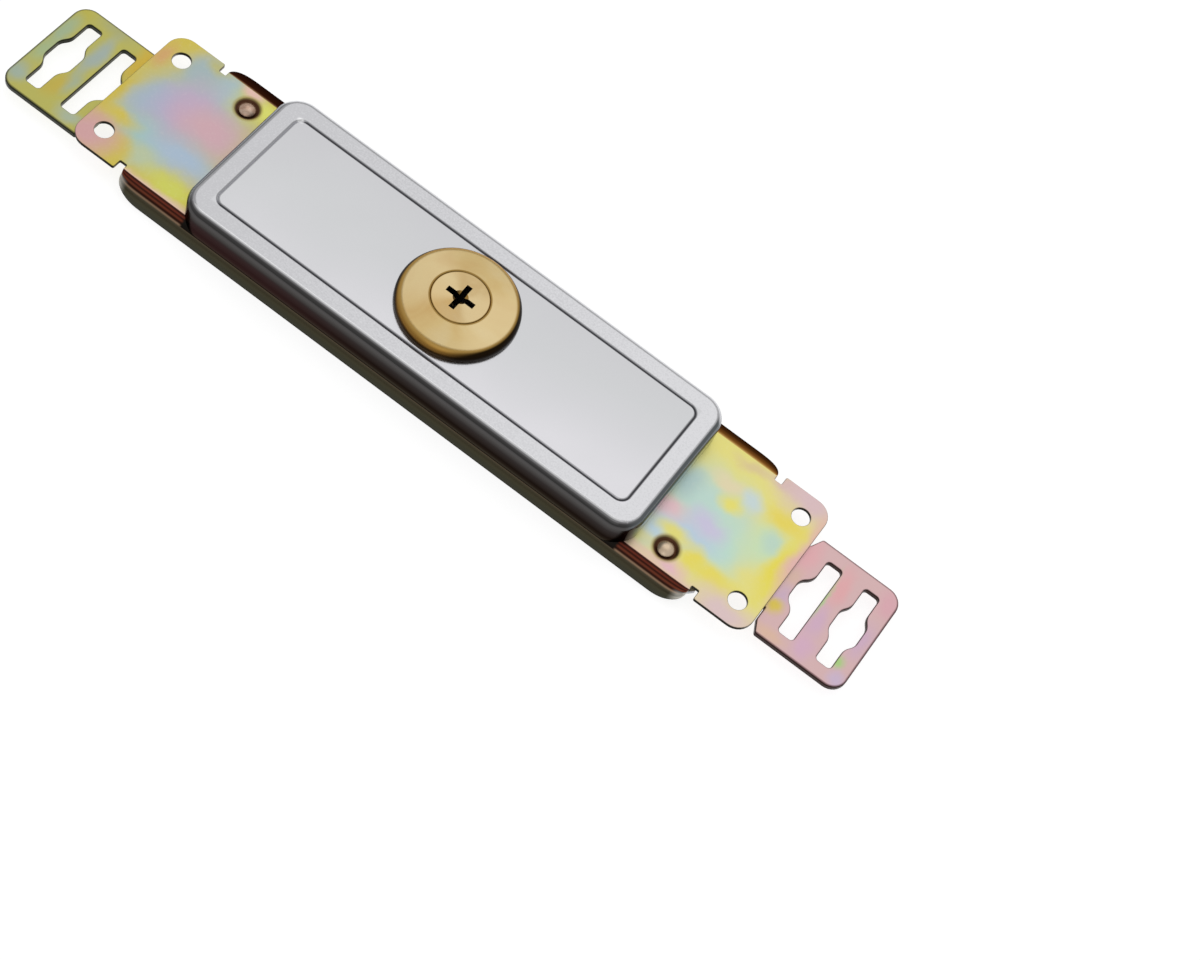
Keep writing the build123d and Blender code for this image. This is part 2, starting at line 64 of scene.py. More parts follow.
dimple_edge_above = 0.3
dimple_edge_below = 0.478
edge_roll = 0.24


def outline(points, radii, steps=8):
    """A closed outline whose corners are arcs. Each arc's centre lies on its corner's bisector,
    radius / sin(half the corner) from the corner, and the arc swings from one leg to the other."""
    p = np.array(points, float)
    r = np.broadcast_to(np.array(radii, float), len(p))[:, None]
    back = np.roll(p, 1, 0) - p
    ahead = np.roll(p, -1, 0) - p
    back /= np.linalg.norm(back, axis=1, keepdims=True)
    ahead /= np.linalg.norm(ahead, axis=1, keepdims=True)
    half = np.arccos(np.clip((back * ahead).sum(1, keepdims=True), -1, 1)) / 2
    half = np.clip(half, 0.01, pi / 2 - 0.001)
    bisector = back + ahead
    bisector /= np.maximum(np.linalg.norm(bisector, axis=1, keepdims=True), 1e-9)
    centre = p + bisector * r / np.sin(half)
    first = (p + back * r / np.tan(half) - centre)[:, None]
    last = (p + ahead * r / np.tan(half) - centre)[:, None]
    turn = (pi - 2 * half)[:, None]
    t = np.linspace(0, 1, steps + 1)[None, :, None]
    arcs = centre[:, None] + (np.sin((1 - t) * turn) * first + np.sin(t * turn) * last) / np.sin(turn)
    line = arcs.reshape(-1, 2)
    return line[np.linalg.norm(line - np.roll(line, 1, 0), axis=1) > 1e-4]


def ring(x, y, radius, count=48, hole=True):
    """A circle as an outline, clockwise for a hole so that the sheet lies on its left."""
    a = np.linspace(0, 2 * pi, count, endpoint=False) * (-1 if hole else 1)
    return np.stack([x + radius * np.cos(a), y + radius * np.sin(a)], 1)


def moved_in(line, distance):
    """An outline moved to its left by a distance, its corners along their bisectors."""
    step = np.roll(line, -1, 0) - line
    step /= np.linalg.norm(step, axis=1, keepdims=True)
    out = np.stack([-step[:, 1], step[:, 0]], 1)
    before = np.roll(out, 1, 0)
    return line + distance * (out + before) / (1 + (out * before).sum(1, keepdims=True))


def net(points, wrap_rows=False, wrap_columns=False):
    """Vertices and quads of a grid of points, rows by columns, joined round where it wraps."""
    rows, columns = points.shape[:2]
    i = np.arange(rows if wrap_rows else rows - 1)[:, None]
    j = np.arange(columns if wrap_columns else columns - 1)[None, :]
    i2, j2 = (i + 1) % rows, (j + 1) % columns
    quads = np.stack(
        [i * columns + j, i2 * columns + j, i2 * columns + j2, i * columns + j2], -1
    ).reshape(-1, 4)
    return points.reshape(-1, 3), quads.tolist()


def edge_strip(line, profile):
    """A sheared edge: a profile of (distance into the sheet, height) carried along an outline."""
    rows = [np.column_stack([moved_in(line, d), np.full(len(line), z)]) for d, z in profile]
    return net(np.array(rows), wrap_columns=True)


def flat(lines, height):
    """The flat face between outlines, triangulated, kept where a point is inside an odd number."""
    points = np.concatenate(lines)
    edges, first = [], 0
    for line in lines:
        ids = first + np.arange(len(line))
        edges += np.stack([ids, np.roll(ids, -1)], 1).tolist()
        first += len(line)
    verts, _, faces, _, _, _ = delaunay_2d_cdt(points.tolist(), edges, [], 0, 1e-6)
    verts, faces = np.array([tuple(v) for v in verts]), np.array(faces)
    middle = verts[faces].mean(1)
    a, b = points[np.array(edges)[:, 0]], points[np.array(edges)[:, 1]]
    rises = (a[:, 1] > middle[:, None, 1]) != (b[:, 1] > middle[:, None, 1])
    slope = (b[:, 0] - a[:, 0]) / np.where(a[:, 1] == b[:, 1], 1, b[:, 1] - a[:, 1])
    cross = middle[:, None, 0] < a[:, 0] + slope * (middle[:, None, 1] - a[:, 1])
    inside = (rises & cross).sum(1) % 2 == 1
    return np.column_stack([verts, np.full(len(verts), height)]), faces[inside].tolist()


def rolled_edge(top, bottom, roll, burr):
    """The profile of a blanked edge: rounded over above, straight down, a small break below."""
    a = np.linspace(0, pi / 2, 5)
    upper = [(roll * (1 - sin(t)), top - roll * (1 - cos(t))) for t in a]
    return upper + [(0, bottom + burr), (burr, bottom)]


def turned(profile, x=0.0, y=0.0, count=96, closed=False):
    """A turned form: a profile of (radius, height) carried round an upright axis."""
    a = np.linspace(0, 2 * pi, count, endpoint=False)[None, :]
    r = np.array([p[0] for p in profile])[:, None]
    z = np.array([p[1] for p in profile])[:, None] + 0 * a
    return net(np.stack([x + r * np.cos(a), y + r * np.sin(a), z], -1), closed, True)


def rounded_line(points, radii, steps=6):
    """An open profile whose inner corners are arcs. A point far off closes it for the arcs and is
    then dropped again."""
    p = [tuple(q) for q in points]
    far_point = (p[-1][0] + 977.0, p[-1][1] + 991.0)
    around = outline(p + [far_point], list(radii) + [0], steps)
    return [tuple(q) for q in around if q[0] < 900]


def piece(name, parts, material, body, slot, *nodes):
    """One mesh in metres from grids and flats in millimetres, riding on a body."""
    verts, faces, first = [], [], 0
    for points, polys in parts:
        verts.append(points)
        faces += [[first + k for k in poly] for poly in polys]
        first += len(points)
    mesh = bpy.data.meshes.new(name)
    mesh.from_pydata((np.concatenate(verts) * 0.001).tolist(), [], faces)
    bm = bmesh.new()
    bm.from_mesh(mesh)
    bmesh.ops.remove_doubles(bm, verts=bm.verts, dist=2e-6)
    bmesh.ops.recalc_face_normals(bm, faces=bm.faces)
    bm.to_mesh(mesh)
    bm.free()
    mesh.polygons.foreach_set("use_smooth", [True] * len(mesh.polygons))
    mesh.set_sharp_from_angle(angle=radians(38))
    mesh.materials.append(material)
    made = bpy.data.objects.new(name, mesh)
    bpy.context.scene.collection.objects.link(made)
    weighted = made.modifiers.new("weighted normals", "WEIGHTED_NORMAL")
    weighted.keep_sharp = True
    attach(made, body)
    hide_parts(*nodes)
    return made


def lin(code):
    """A colour written as sRGB hex, as the linear values that shaders take."""
    c = np.array([int(code[k : k + 2], 16) for k in (1, 3, 5)]) / 255
    c = np.where(c <= 0.04045, c / 12.92, ((c + 0.055) / 1.055) ** 2.4)
    return (*c.tolist(), 1.0)


def new_material(name):
    """An empty material with its tree, its shader, and the outputs of its texture coordinates."""
    m = bpy.data.materials.new(name)
    m.use_nodes = True
    tree = m.node_tree
    shader = next(n for n in tree.nodes if n.type == "BSDF_PRINCIPLED")
    place = tree.nodes.new("ShaderNodeTexCoord").outputs
    return m, tree, shader, place


def give(tree, made, *inputs, **named):
    """Gives a node its inputs, in order or by name, each an output to link or a plain value."""
    open_inputs = [socket for socket in made.inputs if socket.enabled]
    pairs = list(zip(open_inputs, inputs))
    pairs += [(made.inputs[name.replace("_", " ")], value) for name, value in named.items()]
    for socket, value in pairs:
        if isinstance(value, bpy.types.NodeSocket):
            tree.links.new(value, socket)
        else:
            socket.default_value = value


# Colours are what is mixed, and a range eases in and out at its ends.
usual = {"Mix": {"data_type": "RGBA"}, "MapRange": {"interpolation_type": "SMOOTHSTEP"}}


def node(tree, kind, *inputs, stops=(), **named):
    """Adds a shader node and gives its first output. In small letters, kind is the node's own name:
    Mix lays one colour over another by a factor, and MapRange says how far a value lies from low to
    high. In capitals, kind is the Math node's operation. Stops are a ramp's places and colours."""
    if kind.isupper():
        made = tree.nodes.new("ShaderNodeMath")
        made.operation = kind
    else:
        made = tree.nodes.new("ShaderNode" + kind)
    for key, value in usual.get(kind, {}).items():
        setattr(made, key, value)
    give(tree, made, *inputs, **named)
    if stops:
        elements = made.color_ramp.elements
        while len(elements) < len(stops):
            elements.new(1.0)
        for element, (where, code) in zip(elements, stops):
            element.position = where
            element.color = lin(code)
    return next(output for output in made.outputs if output.enabled)


def axes(tree, place):
    """The X, Y and Z of the object coordinates, in millimetres."""
    parts = node(tree, "SeparateXYZ", place["Object"]).node.outputs
    return [node(tree, "MULTIPLY", part, 1000.0) for part in parts]


def spread(tree, x, y, centre, reach):
    """How far a point lies from a centre, 1 at the reach, by the root of the squares."""
    u = node(tree, "DIVIDE", node(tree, "SUBTRACT", x, centre[0]), reach[0])
    v = node(tree, "DIVIDE", node(tree, "SUBTRACT", y, centre[1]), reach[1])
    return node(tree, "SQRT", node(tree, "MULTIPLY_ADD", u, u, node(tree, "MULTIPLY", v, v)))


def laid(tree, x, y, base, patches):
    """Soft patches of film colour laid over one another: place, reach both ways, colour."""
    colour = lin(base)
    for px, py, rx, ry, code in patches:
        near = node(tree, "MapRange", spread(tree, x, y, (px, py), (rx, ry)), 1.35, 0.15)
        colour = node(tree, "Mix", near, colour, lin(code))
    return colour


def drifted(tree, place, x, y, size, reach):
    """A point moved by slow noise, up to half the reach each way, so that patches get uneven edges.
    The noise has features about size metres across."""
    slow = node(tree, "TexNoise", place["Object"], 1 / size, 3.0).node.outputs["Color"]
    drift = node(tree, "SeparateXYZ", slow).node.outputs
    moved_x = node(tree, "MULTIPLY_ADD", node(tree, "SUBTRACT", drift[0], 0.5), reach, x)
    moved_y = node(tree, "MULTIPLY_ADD", node(tree, "SUBTRACT", drift[1], 0.5), reach, y)
    return moved_x, moved_y


def coated(tree, below, code, mask, share=1.0):
    """A colour laid over what is below it, as far as a mask says and by a share of at most 1."""
    if share < 1:
        mask = node(tree, "MULTIPLY", mask, share)
    return node(tree, "Mix", mask, below, lin(code))


# Yellow passivated zinc: a smooth satin metal whose film shows interference colours, mauve and blue
# inside, yellow round them and pink on the ears, with grey-brown sheared edges, and painted
# reflections and painted shade on the bend and on the edges facing the near side.
zinc_plate, tree, shader, place = new_material("yellow passivated zinc")
x, y, z = axes(tree, place)
along = node(tree, "ABSOLUTE", x)
across = node(tree, "ABSOLUTE", y)
film_x, film_y = drifted(tree, place, x, y, 0.009, 6.0)
left_colour = laid(
    tree,
    film_x,
    film_y,
    "#d5c358",
    [
        (-86, 3, 17, 19, "#a9c0c2"),
        (-84.5, 16, 6, 7, "#b0c4c6"),
        (-92, 16, 6, 8, "#aabcbd"),
        (-90, -9, 11, 6, "#a7cabd"),
        (-79, -8.5, 14, 6, "#afc2d5"),
        (-97, 0, 5, 8, "#aabec9"),
        (-93, 1, 6.5, 8, "#b3b8cd"),
        (-87.5, 4, 8, 11, "#c4b0cb"),
        (-79, 3, 12, 8, "#d5afb7"),
        (-86, -14.5, 6, 4, "#bfcba8"),
        (-75.5, -16.6, 8.5, 4.0, "#d4d665"),
        (-93.5, -17, 5, 5, "#d5c256"),
        (-101.5, -17.5, 9, 8.5, "#d8a9a8"),
        (-103.5, 14, 3, 5, "#d8ad72"),
        (-98.6, -9.2, 6.4, 2.5, "#d6c45c"),
        (-104, -3, 2.6, 7, "#d4bf50"),
        (-90.5, 20, 3.5, 3, "#c0be85"),
        (-77, 16, 6.5, 6.0, "#cfcf7d"),
        (-72.5, 17.5, 3, 4, "#e0e172"),
        (-78.5, 19.8, 4, 2.6, "#eac3b6"),
    ],
)
right_colour = laid(
    tree,
    film_x,
    film_y,
    "#ebe286",
    [
        (78, 1, 16, 13, "#c2ded3"),
        (87, -6, 9, 11, "#c2e2d1"),
        (79, -8, 10, 5, "#c0d4e2"),
        (81.5, -3, 6.5, 4, "#cfcae2"),
        (71, -6, 6, 4.5, "#e8c5ca"),
        (71.5, 4, 4.5, 6, "#b6d0cc"),
        (80, 10.5, 6, 3, "#e8dcb4"),
        (82.5, 5.8, 3.8, 3, "#ece377"),
        (87, 9.8, 3.6, 3.4, "#cddddc"),
        (95.5, 2, 6, 8, "#cde5bd"),
        (96.5, 4, 3.4, 4, "#c2ddca"),
        (101.8, -2, 3.2, 12, "#ecde5c"),
        (97, 11, 6.5, 4, "#ecda65"),
        (90.5, -15, 8, 4, "#ecde65"),
        (72, -12, 5.5, 5, "#c2d9e5"),
        (77, -10.6, 7, 2.6, "#e8e080"),
        (84, -14, 3.4, 3.4, "#ecde65"),
        (80, -19, 6, 3.4, "#eabfc6"),
        (72, -18, 3.4, 3, "#d8dab0"),
        (82, 18.5, 6, 2.2, "#e2cf98"),
        (91.5, 20.5, 5, 3.6, "#dcbfa8"),
        (98, 20.5, 12, 6.5, "#e0c3c5"),
        (105, 6, 3.0, 18, "#e9bbb4"),
        (98, -21, 12, 6.0, "#e2c9c8"),
    ],
)
right_side = node(tree, "MapRange", x, -5.0, 5.0)
film = node(tree, "Mix", right_side, left_colour, right_colour)

# The plating's grain is really too fine to show, so it is drawn 0.9 mm across.
grain = node(tree, "TexNoise", place["Object"], 1 / 0.0009, 3.0)
film = coated(tree, film, "#f0e8dc", node(tree, "MapRange", grain, 0.5, 0.8), 0.09)
# A pinkish-white painted highlight runs along the near edge, where the bend begins to turn down.
near_edge_highlight = node(tree, "MapRange", film_y, -18.2, -20.4)
near_edge_highlight = node(tree, "MULTIPLY", near_edge_highlight, node(tree, "MapRange", along, 88.5, 87.0))
film = coated(tree, film, "#e6c8b8", near_edge_highlight, 0.75)

# The dimples' sloping walls round the rivets are painted olive, then dark brown, as shade, and the
# sheared edges show bare steel, painted darker as shade where they face the near side.
dimple_reach = node(
    tree, "MINIMUM", *[spread(tree, x, y, centre, (1.0, 1.0)) for centre in rivet_places]
)
film = coated(tree, film, "#a08c50", node(tree, "MapRange", dimple_reach, 4.4, 3.3), 0.8)
film = coated(tree, film, "#573621", node(tree, "MapRange", dimple_reach, 3.5, 2.9))
facing = node(tree, "SeparateXYZ", place["Normal"]).node.outputs
near_facing_shade = node(tree, "MapRange", facing[1], -0.15, -0.7)
sheared = node(tree, "Mix", near_facing_shade, lin("#7d7466"), lin("#1f1d14"))
sheared_share = node(tree, "MapRange", node(tree, "ABSOLUTE", facing[2]), 0.96, 0.6)
off_dimples = node(tree, "MapRange", dimple_reach, 3.6, 4.4)
sheared_share = node(tree, "MULTIPLY", sheared_share, off_dimples)
film = node(tree, "Mix", sheared_share, film, sheared)

# How far round the bend a point lies, 0 at the flat and 1 at the wall; the rim narrows to its tips.
turned_share = node(tree, "SUBTRACT", along, rim_turn)
turned_share = node(tree, "DIVIDE", turned_share, rim_tip - rim_turn)
turned_share = node(tree, "MINIMUM", node(tree, "MAXIMUM", turned_share, 0.0), 0.995)
narrow = node(tree, "SUBTRACT", 1.0, node(tree, "POWER", turned_share, 3.0))
narrow = node(tree, "POWER", narrow, 1 / 3)
rise = node(tree, "MULTIPLY", node(tree, "POWER", turned_share, 2.0), rim_rise)
depth = node(tree, "SUBTRACT", 1.0, rise)
depth = node(tree, "MULTIPLY", depth, -rim_low - plate_sheet)
low_share = node(tree, "DIVIDE", node(tree, "SUBTRACT", -plate_sheet, z), depth)
bend_share = node(tree, "DIVIDE", node(tree, "SUBTRACT", across, flat_half), bend_radius)
bend_share = node(tree, "DIVIDE", bend_share, narrow)
# The near bend is painted with the reflections seen in it: a pale highlight at the flat's edge, dark red
# and maroon bands, a tan highlight line and olive down the wall.
near_bend = node(
    tree,
    "ValToRGB",
    bend_share,
    stops=[
        (0.0, "#eccfbb"),
        (0.05, "#e0b8a0"),
        (0.09, "#341408"),
        (0.18, "#3a140a"),
        (0.27, "#7c3624"),
        (0.37, "#300e05"),
        (0.48, "#7e3e28"),
        (0.58, "#2c0e05"),
        (0.64, "#3a1c10"),
        (0.71, "#a3846a"),
        (0.78, "#57503f"),
        (0.87, "#3d3828"),
        (0.95, "#3f3c2c"),
        (1.0, "#383729"),
    ],
)
# A pale grey painted highlight runs round each tip of the near rim.
tip_highlight = node(tree, "MapRange", along, 84.0, 87.3)
tip_highlight = node(tree, "MULTIPLY", tip_highlight, node(tree, "MapRange", bend_share, 0.5, 0.7))
near_bend = coated(tree, near_bend, "#c2bfb6", tip_highlight)
# Painted shade darkens the bend below the cover's wall, along the cover's length.
under_cover_shade = node(tree, "MapRange", along, 67.8, 66.8)
under_cover_shade = node(tree, "MULTIPLY", under_cover_shade, node(tree, "MapRange", bend_share, 0.765, 0.74))
near_bend = coated(tree, near_bend, "#17120d", under_cover_shade)
# Painted shade darkens the near rim's lowest edge.
near_bend = coated(tree, near_bend, "#16160e", node(tree, "MapRange", low_share, 0.84, 0.93))
# The far bend is painted with its reflection, from pale yellow at the flat to dark brown, more golden at
# the right end.
far_left = node(
    tree,
    "ValToRGB",
    bend_share,
    stops=[(0.0, "#a89a68"), (0.05, "#7a4a28"), (0.14, "#3c1a0c"), (0.5, "#2a120a"), (1.0, "#241009")],
)
far_right = node(
    tree,
    "ValToRGB",
    bend_share,
    stops=[(0.0, "#dcc878"), (0.06, "#c08f48"), (0.22, "#8a5624"), (0.45, "#4e2b10"), (0.8, "#2c160a")],
)
far_bend = node(tree, "Mix", right_side, far_left, far_right)
far_side = node(tree, "MapRange", y, -1.0, 1.0)
bend_colour = node(tree, "Mix", far_side, near_bend, far_bend)
on_bend = node(tree, "MapRange", across, flat_half - 0.06, flat_half + 0.02)
on_bend = node(tree, "MULTIPLY", on_bend, node(tree, "MapRange", along, 88.2, 88.0))

# The far bend is made dull so that its painted shade stays dark, and the near walls gain only half a
# metal's shine at a glancing angle, as painted shade.
dull = node(tree, "MULTIPLY", on_bend, far_side)
dull = node(tree, "MULTIPLY", dull, node(tree, "MapRange", bend_share, 0.0, 0.15))
bright = node(tree, "SUBTRACT", 1.0, dull)
full_shine, half_shine = (1, 1, 1, 1), (0.5, 0.5, 0.5, 1)
near_wall_shade = node(tree, "MapRange", facing[1], -0.4, -0.8)
unevenness = node(tree, "TexNoise", place["Object"], 1 / 0.004, 4.0)
give(
    tree,
    shader,
    Base_Color=node(tree, "Mix", on_bend, film, bend_colour),
    Specular_Tint=node(tree, "Mix", near_wall_shade, full_shine, half_shine),
    Metallic=node(tree, "MULTIPLY", bright, 0.8),
    Specular_IOR_Level=node(tree, "MULTIPLY", bright, 0.5),
    Roughness=0.3,
    Normal=node(tree, "Bump", Height=unevenness, Distance=0.00002, Strength=0.5),
)

bend_end = middle_half - 0.5
right_end = [
    (bend_end, -flat_half),
    (middle_half, -flat_half),
    (middle_half, -notch_half),
    (ear_inner, -notch_half),
    (ear_inner, -ear_half),
    (plate_half, -ear_half),
]
right_end += [(px, -py) for px, py in right_end[::-1]]
end_radii = [0, 0.35, 0.3, 0.3, 0.5, ear_corner]
plate_line = outline(
    right_end + [(-px, -py) for px, py in right_end], 2 * (end_radii + end_radii[::-1])
)
holes = [ring(sx * ear_hole_x, sy * ear_hole_y, ear_hole_radius) for sx in (-1, 1) for sy in (-1, 1)]
holes.append(ring(0, 0, spigot_hole_radius))
profile = rolled_edge(0, -plate_sheet, edge_roll, edge_roll)
points, quads = edge_strip(plate_line, profile)
corner = points[np.array(quads)]
joins_bend = (np.abs(corner[..., 0]) < bend_end + 0.01).all(1)
plate_parts = [(points, [q for q, skip in zip(quads, joins_bend) if not skip])]
plate_parts += [edge_strip(line, profile) for line in holes]
for top, extra in ((0.0, dimple_edge_above), (-plate_sheet, dimple_edge_below)):
    lines = [moved_in(line, edge_roll) for line in [plate_line] + holes]
    lines += [ring(px, py, dimple_radius + extra, 64) for px, py in rivet_places]
    plate_parts.append(flat(lines, top))
dimple = rounded_line(
    [
        (dimple_radius + dimple_edge_above, 0),
        (dimple_radius, 0),
        (2.45, -0.7),
        (1.5, -0.7),
        (1.5, -1.9),
        (2.828, -1.9),
        (3.828, -1.2),
        (dimple_radius + dimple_edge_below, -plate_sheet),
    ],
    [0, 0.8, 0.6, 0, 0, 0.4, 0, 0],
)
plate_parts += [turned(dimple, px, py, 64) for px, py in rivet_places]


def drawn_rim(side):
    """The drawn rim of one long edge: a section carried along the edge. The section is an outer arc,
    a wall, a lip and an inner arc one sheet inside. Its outer arc is squarer on the far side, sin
    and cos to the power 2/3. Each end follows a quarter of a squared-off ellipse: over the angle t
    the section moves on by reach * s, s = sin(t) to the power 2/3, its distance from the edge
    shrinks by cos(t) to the power 2/3, and its depth below the sheet by 1 - rim_rise * s squared,
    so that the rim closes on the notch."""
    t = np.linspace(0, pi / 2, 17)
    power = 2 / 3 if side > 0 else 1.0
    bent = np.sin(t) ** power, np.maximum(np.cos(t), 0) ** power
    outer = bend_radius * np.column_stack([bent[0], bent[1] - 1])
    inner_radius = bend_radius - plate_sheet
    inner = np.column_stack([inner_radius * np.sin(t), inner_radius * np.cos(t) - bend_radius])
    lip = [(bend_radius, rim_low + 0.15), (bend_radius - 0.12, rim_low)]
    inner_lip = [(inner_radius + 0.1, rim_low), (inner_radius, rim_low + 0.1)]
    outside = np.concatenate([[(-edge_roll, 0)], outer, lip])
    inside = np.concatenate([[(-edge_roll, -plate_sheet)], inner, inner_lip[::-1]])
    section = np.concatenate([outside, inside[::-1]])
    v, h = section[:, :1], section[:, 1:]
    half = len(outside)
    reach = np.where(np.arange(len(section)) < half, 0.0, -plate_sheet)[:, None] + rim_tip - rim_turn
    turn = np.linspace(0, pi / 2, 33)[None, :]
    shrink = np.maximum(np.cos(turn), 0) ** (2 / 3)
    onward = np.sin(turn) ** (2 / 3)
    arc_x = rim_turn + reach * onward
    arc_y = flat_half + np.where(v > 0, v * shrink, v)
    arc_z = np.maximum(h, -plate_sheet) + np.minimum(h + plate_sheet, 0) * (1 - rim_rise * onward**2)
    gx = np.concatenate([-arc_x[:, ::-1], arc_x], 1)
    gy = np.concatenate([arc_y[:, ::-1], arc_y], 1) * side
    gz = np.concatenate([arc_z[:, ::-1], arc_z], 1)
    grid = np.stack([gx, gy, gz], -1)
    caps = [net(np.stack([grid[:half, k], grid[half:, k][::-1]], 1)) for k in (0, -1)]
    return [net(grid)] + caps


plate_parts += drawn_rim(1) + drawn_rim(-1)
piece("front_plate_sheet", plate_parts, zinc_plate, "lock_case", "zinc_plate", "front_plate")

# Back plate: a flat steel sheet inside the drawn rim, with pressed cups that guide the tongues.
# Zinc plated and passivated like the front plate, held by the rivets' tails.
# The same film, only clouded in rose, yellow and blue-grey, with the same satin shine.
zinc_back, tree, shader, place = new_material("yellow passivated zinc, back")
cloud = node(tree, "TexNoise", place["Object"], 1 / 0.03, 3.0, Distortion=0.8)
back_colour = node(
    tree,
    "ValToRGB",
    cloud,
    stops=[(0.3, "#cfa9a8"), (0.42, "#d8c766"), (0.5, "#c9c98c"), (0.58, "#adbfc0"), (0.72, "#c3a5b8")],
)
unevenness = node(tree, "TexNoise", place["Object"], 1 / 0.004, 4.0)
relief = node(tree, "Bump", Height=unevenness, Distance=0.00002, Strength=0.5)
give(tree, shader, Base_Color=back_colour, Metallic=0.75, Roughness=0.34, Normal=relief)


def dress(name, material):
    """A CAD node that stays as it is, with its real finish."""
    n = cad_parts[name]
    n.data.materials.clear()
    n.data.materials.append(material)


dress("back_plate", zinc_back)

# Tongues: two blanks of 1.6 mm steel that slide between the plates. Each has a slotted head for the
# shutter's bars, a neck past the spacer and a rack for the pinion. Zinc plated, one come out olive
# and the other rose.
tongue_top = -1.3
tongue_low = -2.9
tooth_pitch = pi
rack_root = 9.25
rack_tip = 7.0
rack_outer = 10.9
guide_edge = 11.2
head_half = 16.6
head_long = 26.5
head_corner = 4.3
slot_half = 2.2
slot_reach = 12.3
left_reach = 128.2
left_shift = 3.95
right_shift = -2.1
tongue_roll = 0.42
tongue_burr = 0.08
shoulder_long = 1.7
shoulder_rise = 3.5
waist_half = 3.0
waist_foot = 5.5

# Each slot: its distance from the tip, and the depth of its waist inward and outward.
slots = ((7.2, 1.7, 1.7), (18.5, 2.8, 0.0))


def blank(lines, top, bottom, roll, burr):
    """A sheet part cut to outlines, outer ones anticlockwise and holes clockwise."""
    parts = [edge_strip(line, rolled_edge(top, bottom, roll, burr)) for line in lines]
    parts.append(flat([moved_in(line, roll) for line in lines], top))
    parts.append(flat([moved_in(line, burr) for line in lines], bottom))
    return parts


def tongue_lines(lead, shift):
    """The outlines of a tongue that points along +X: the rack's teeth are straight-sided, with a
    pressure angle of 20 degrees, and the slots are rounded bars with a waist on one or both sides."""
    tip = left_reach + lead
    head = tip - head_long
    low, high = shift - head_half, shift + head_half
    rack_start = lead - 8 * tooth_pitch
    neck = lead + 8 * tooth_pitch + 4.0
    slope = tan(radians(20))
    half_line = tooth_pitch / 4 - 0.04
    half_foot, half_tip = half_line + 1.25 * slope, half_line - slope
    middles = lead + (np.arange(10) - 7.5) * tooth_pitch
    teeth = [
        (m + dx, ty)
        for m in middles
        for dx, ty in (
            (-half_foot, rack_root),
            (-half_tip, rack_tip),
            (half_tip, rack_tip),
            (half_foot, rack_root),
        )
    ]
    points = [(rack_start, rack_outer), (rack_start, rack_root)] + teeth
    radii = [0.3, 0] + [0.1, 0.2, 0.2, 0.1] * 10
    points += [(neck, rack_root), (neck, -guide_edge), (head, -guide_edge)]
    radii += [0.3, 4.0, 0.3]
    if low + shoulder_rise < -guide_edge - 0.3:
        points.append((head, low + shoulder_rise))
        radii.append(0.6)
    points += [(head + shoulder_long, low), (tip, low)]
    points += [(tip, high), (head + shoulder_long, high)]
    radii += [0.8, head_corner, head_corner, 0.8]
    if high - shoulder_rise > rack_outer + 0.3:
        points.append((head, high - shoulder_rise))
        radii.append(0.6)
    points.append((head, rack_outer))
    radii.append(0.3)
    lines = [outline(points, radii)]
    for from_tip, inward, outward in slots:
        slot, bends = [], []
        for side, depth in ((-1, inward), (1, outward)):
            edge = tip - from_tip + side * slot_half
            run = [(edge, -side * slot_reach), (edge, side * slot_reach)]
            curve = [1.0, 1.0]
            if depth:
                deep = edge + side * depth
                waist = [(edge, -waist_foot * side), (deep, -waist_half * side)]
                waist += [(deep, waist_half * side), (edge, waist_foot * side)]
                run[1:1] = waist
                curve[1:1] = [4.0, 3.4, 3.4, 4.0]
            slot += run
            bends += curve
        lines.append((outline(slot, bends) + [0, shift])[::-1])
    return lines


def tongue_material(name, tip, middle, base, patches, far_code, near_shade_code):
    """Passivated zinc with patches of film colour, darker on its sheared edges, with painted shade on
    those that face the near side, and a fine line of painted shade beside them where the rolled edge
    turns away. The line follows the distance to a rectangle with rounded corners, which is negative
    inside: length(max(q, 0)) + min(max(q), 0) - corner, with q = |place| - (half - corner)."""
    m, tree, shader, place = new_material(name)
    x, y, _ = axes(tree, place)
    half_long = 20.0
    centre = tip - half_long if tip > 0 else tip + half_long
    q_x = node(tree, "ABSOLUTE", node(tree, "SUBTRACT", x, centre))
    q_x = node(tree, "SUBTRACT", q_x, half_long - head_corner)
    q_y = node(tree, "ABSOLUTE", node(tree, "SUBTRACT", y, middle))
    q_y = node(tree, "SUBTRACT", q_y, head_half - head_corner)
    over_x = node(tree, "MAXIMUM", q_x, 0.0)
    over_y = node(tree, "MAXIMUM", q_y, 0.0)
    beyond = node(tree, "MULTIPLY_ADD", over_x, over_x, node(tree, "MULTIPLY", over_y, over_y))
    inside = node(tree, "MINIMUM", node(tree, "MAXIMUM", q_x, q_y), 0.0)
    edge_distance = node(tree, "ADD", node(tree, "SQRT", beyond), inside)
    film_x, film_y = drifted(tree, place, x, y, 0.006, 3.5)
    colour = laid(tree, film_x, film_y, base, patches)
    # A fine dark line of painted shade lies along the head's rolled edge.
    edge_shade_line = node(tree, "MapRange", edge_distance, head_corner - 0.75, head_corner - 0.3)
    colour = coated(tree, colour, far_code, edge_shade_line, 0.75)
    facing = node(tree, "SeparateXYZ", place["Normal"]).node.outputs
    # Edges facing the near side are painted darker, as shade.
    near_facing_shade = node(tree, "MapRange", facing[1], 0.3, -0.3)
    edge = node(tree, "Mix", near_facing_shade, lin(far_code), lin(near_shade_code))
    on_edge = node(tree, "MapRange", node(tree, "ABSOLUTE", facing[2]), 0.98, 0.7)
    colour = node(tree, "Mix", on_edge, colour, edge)
    unevenness = node(tree, "TexNoise", place["Object"], 1 / 0.003, 4.0)
    relief = node(tree, "Bump", Height=unevenness, Distance=0.00002, Strength=0.5)
    give(tree, shader, Base_Color=colour, Metallic=0.75, Roughness=0.34, Normal=relief)
    return m


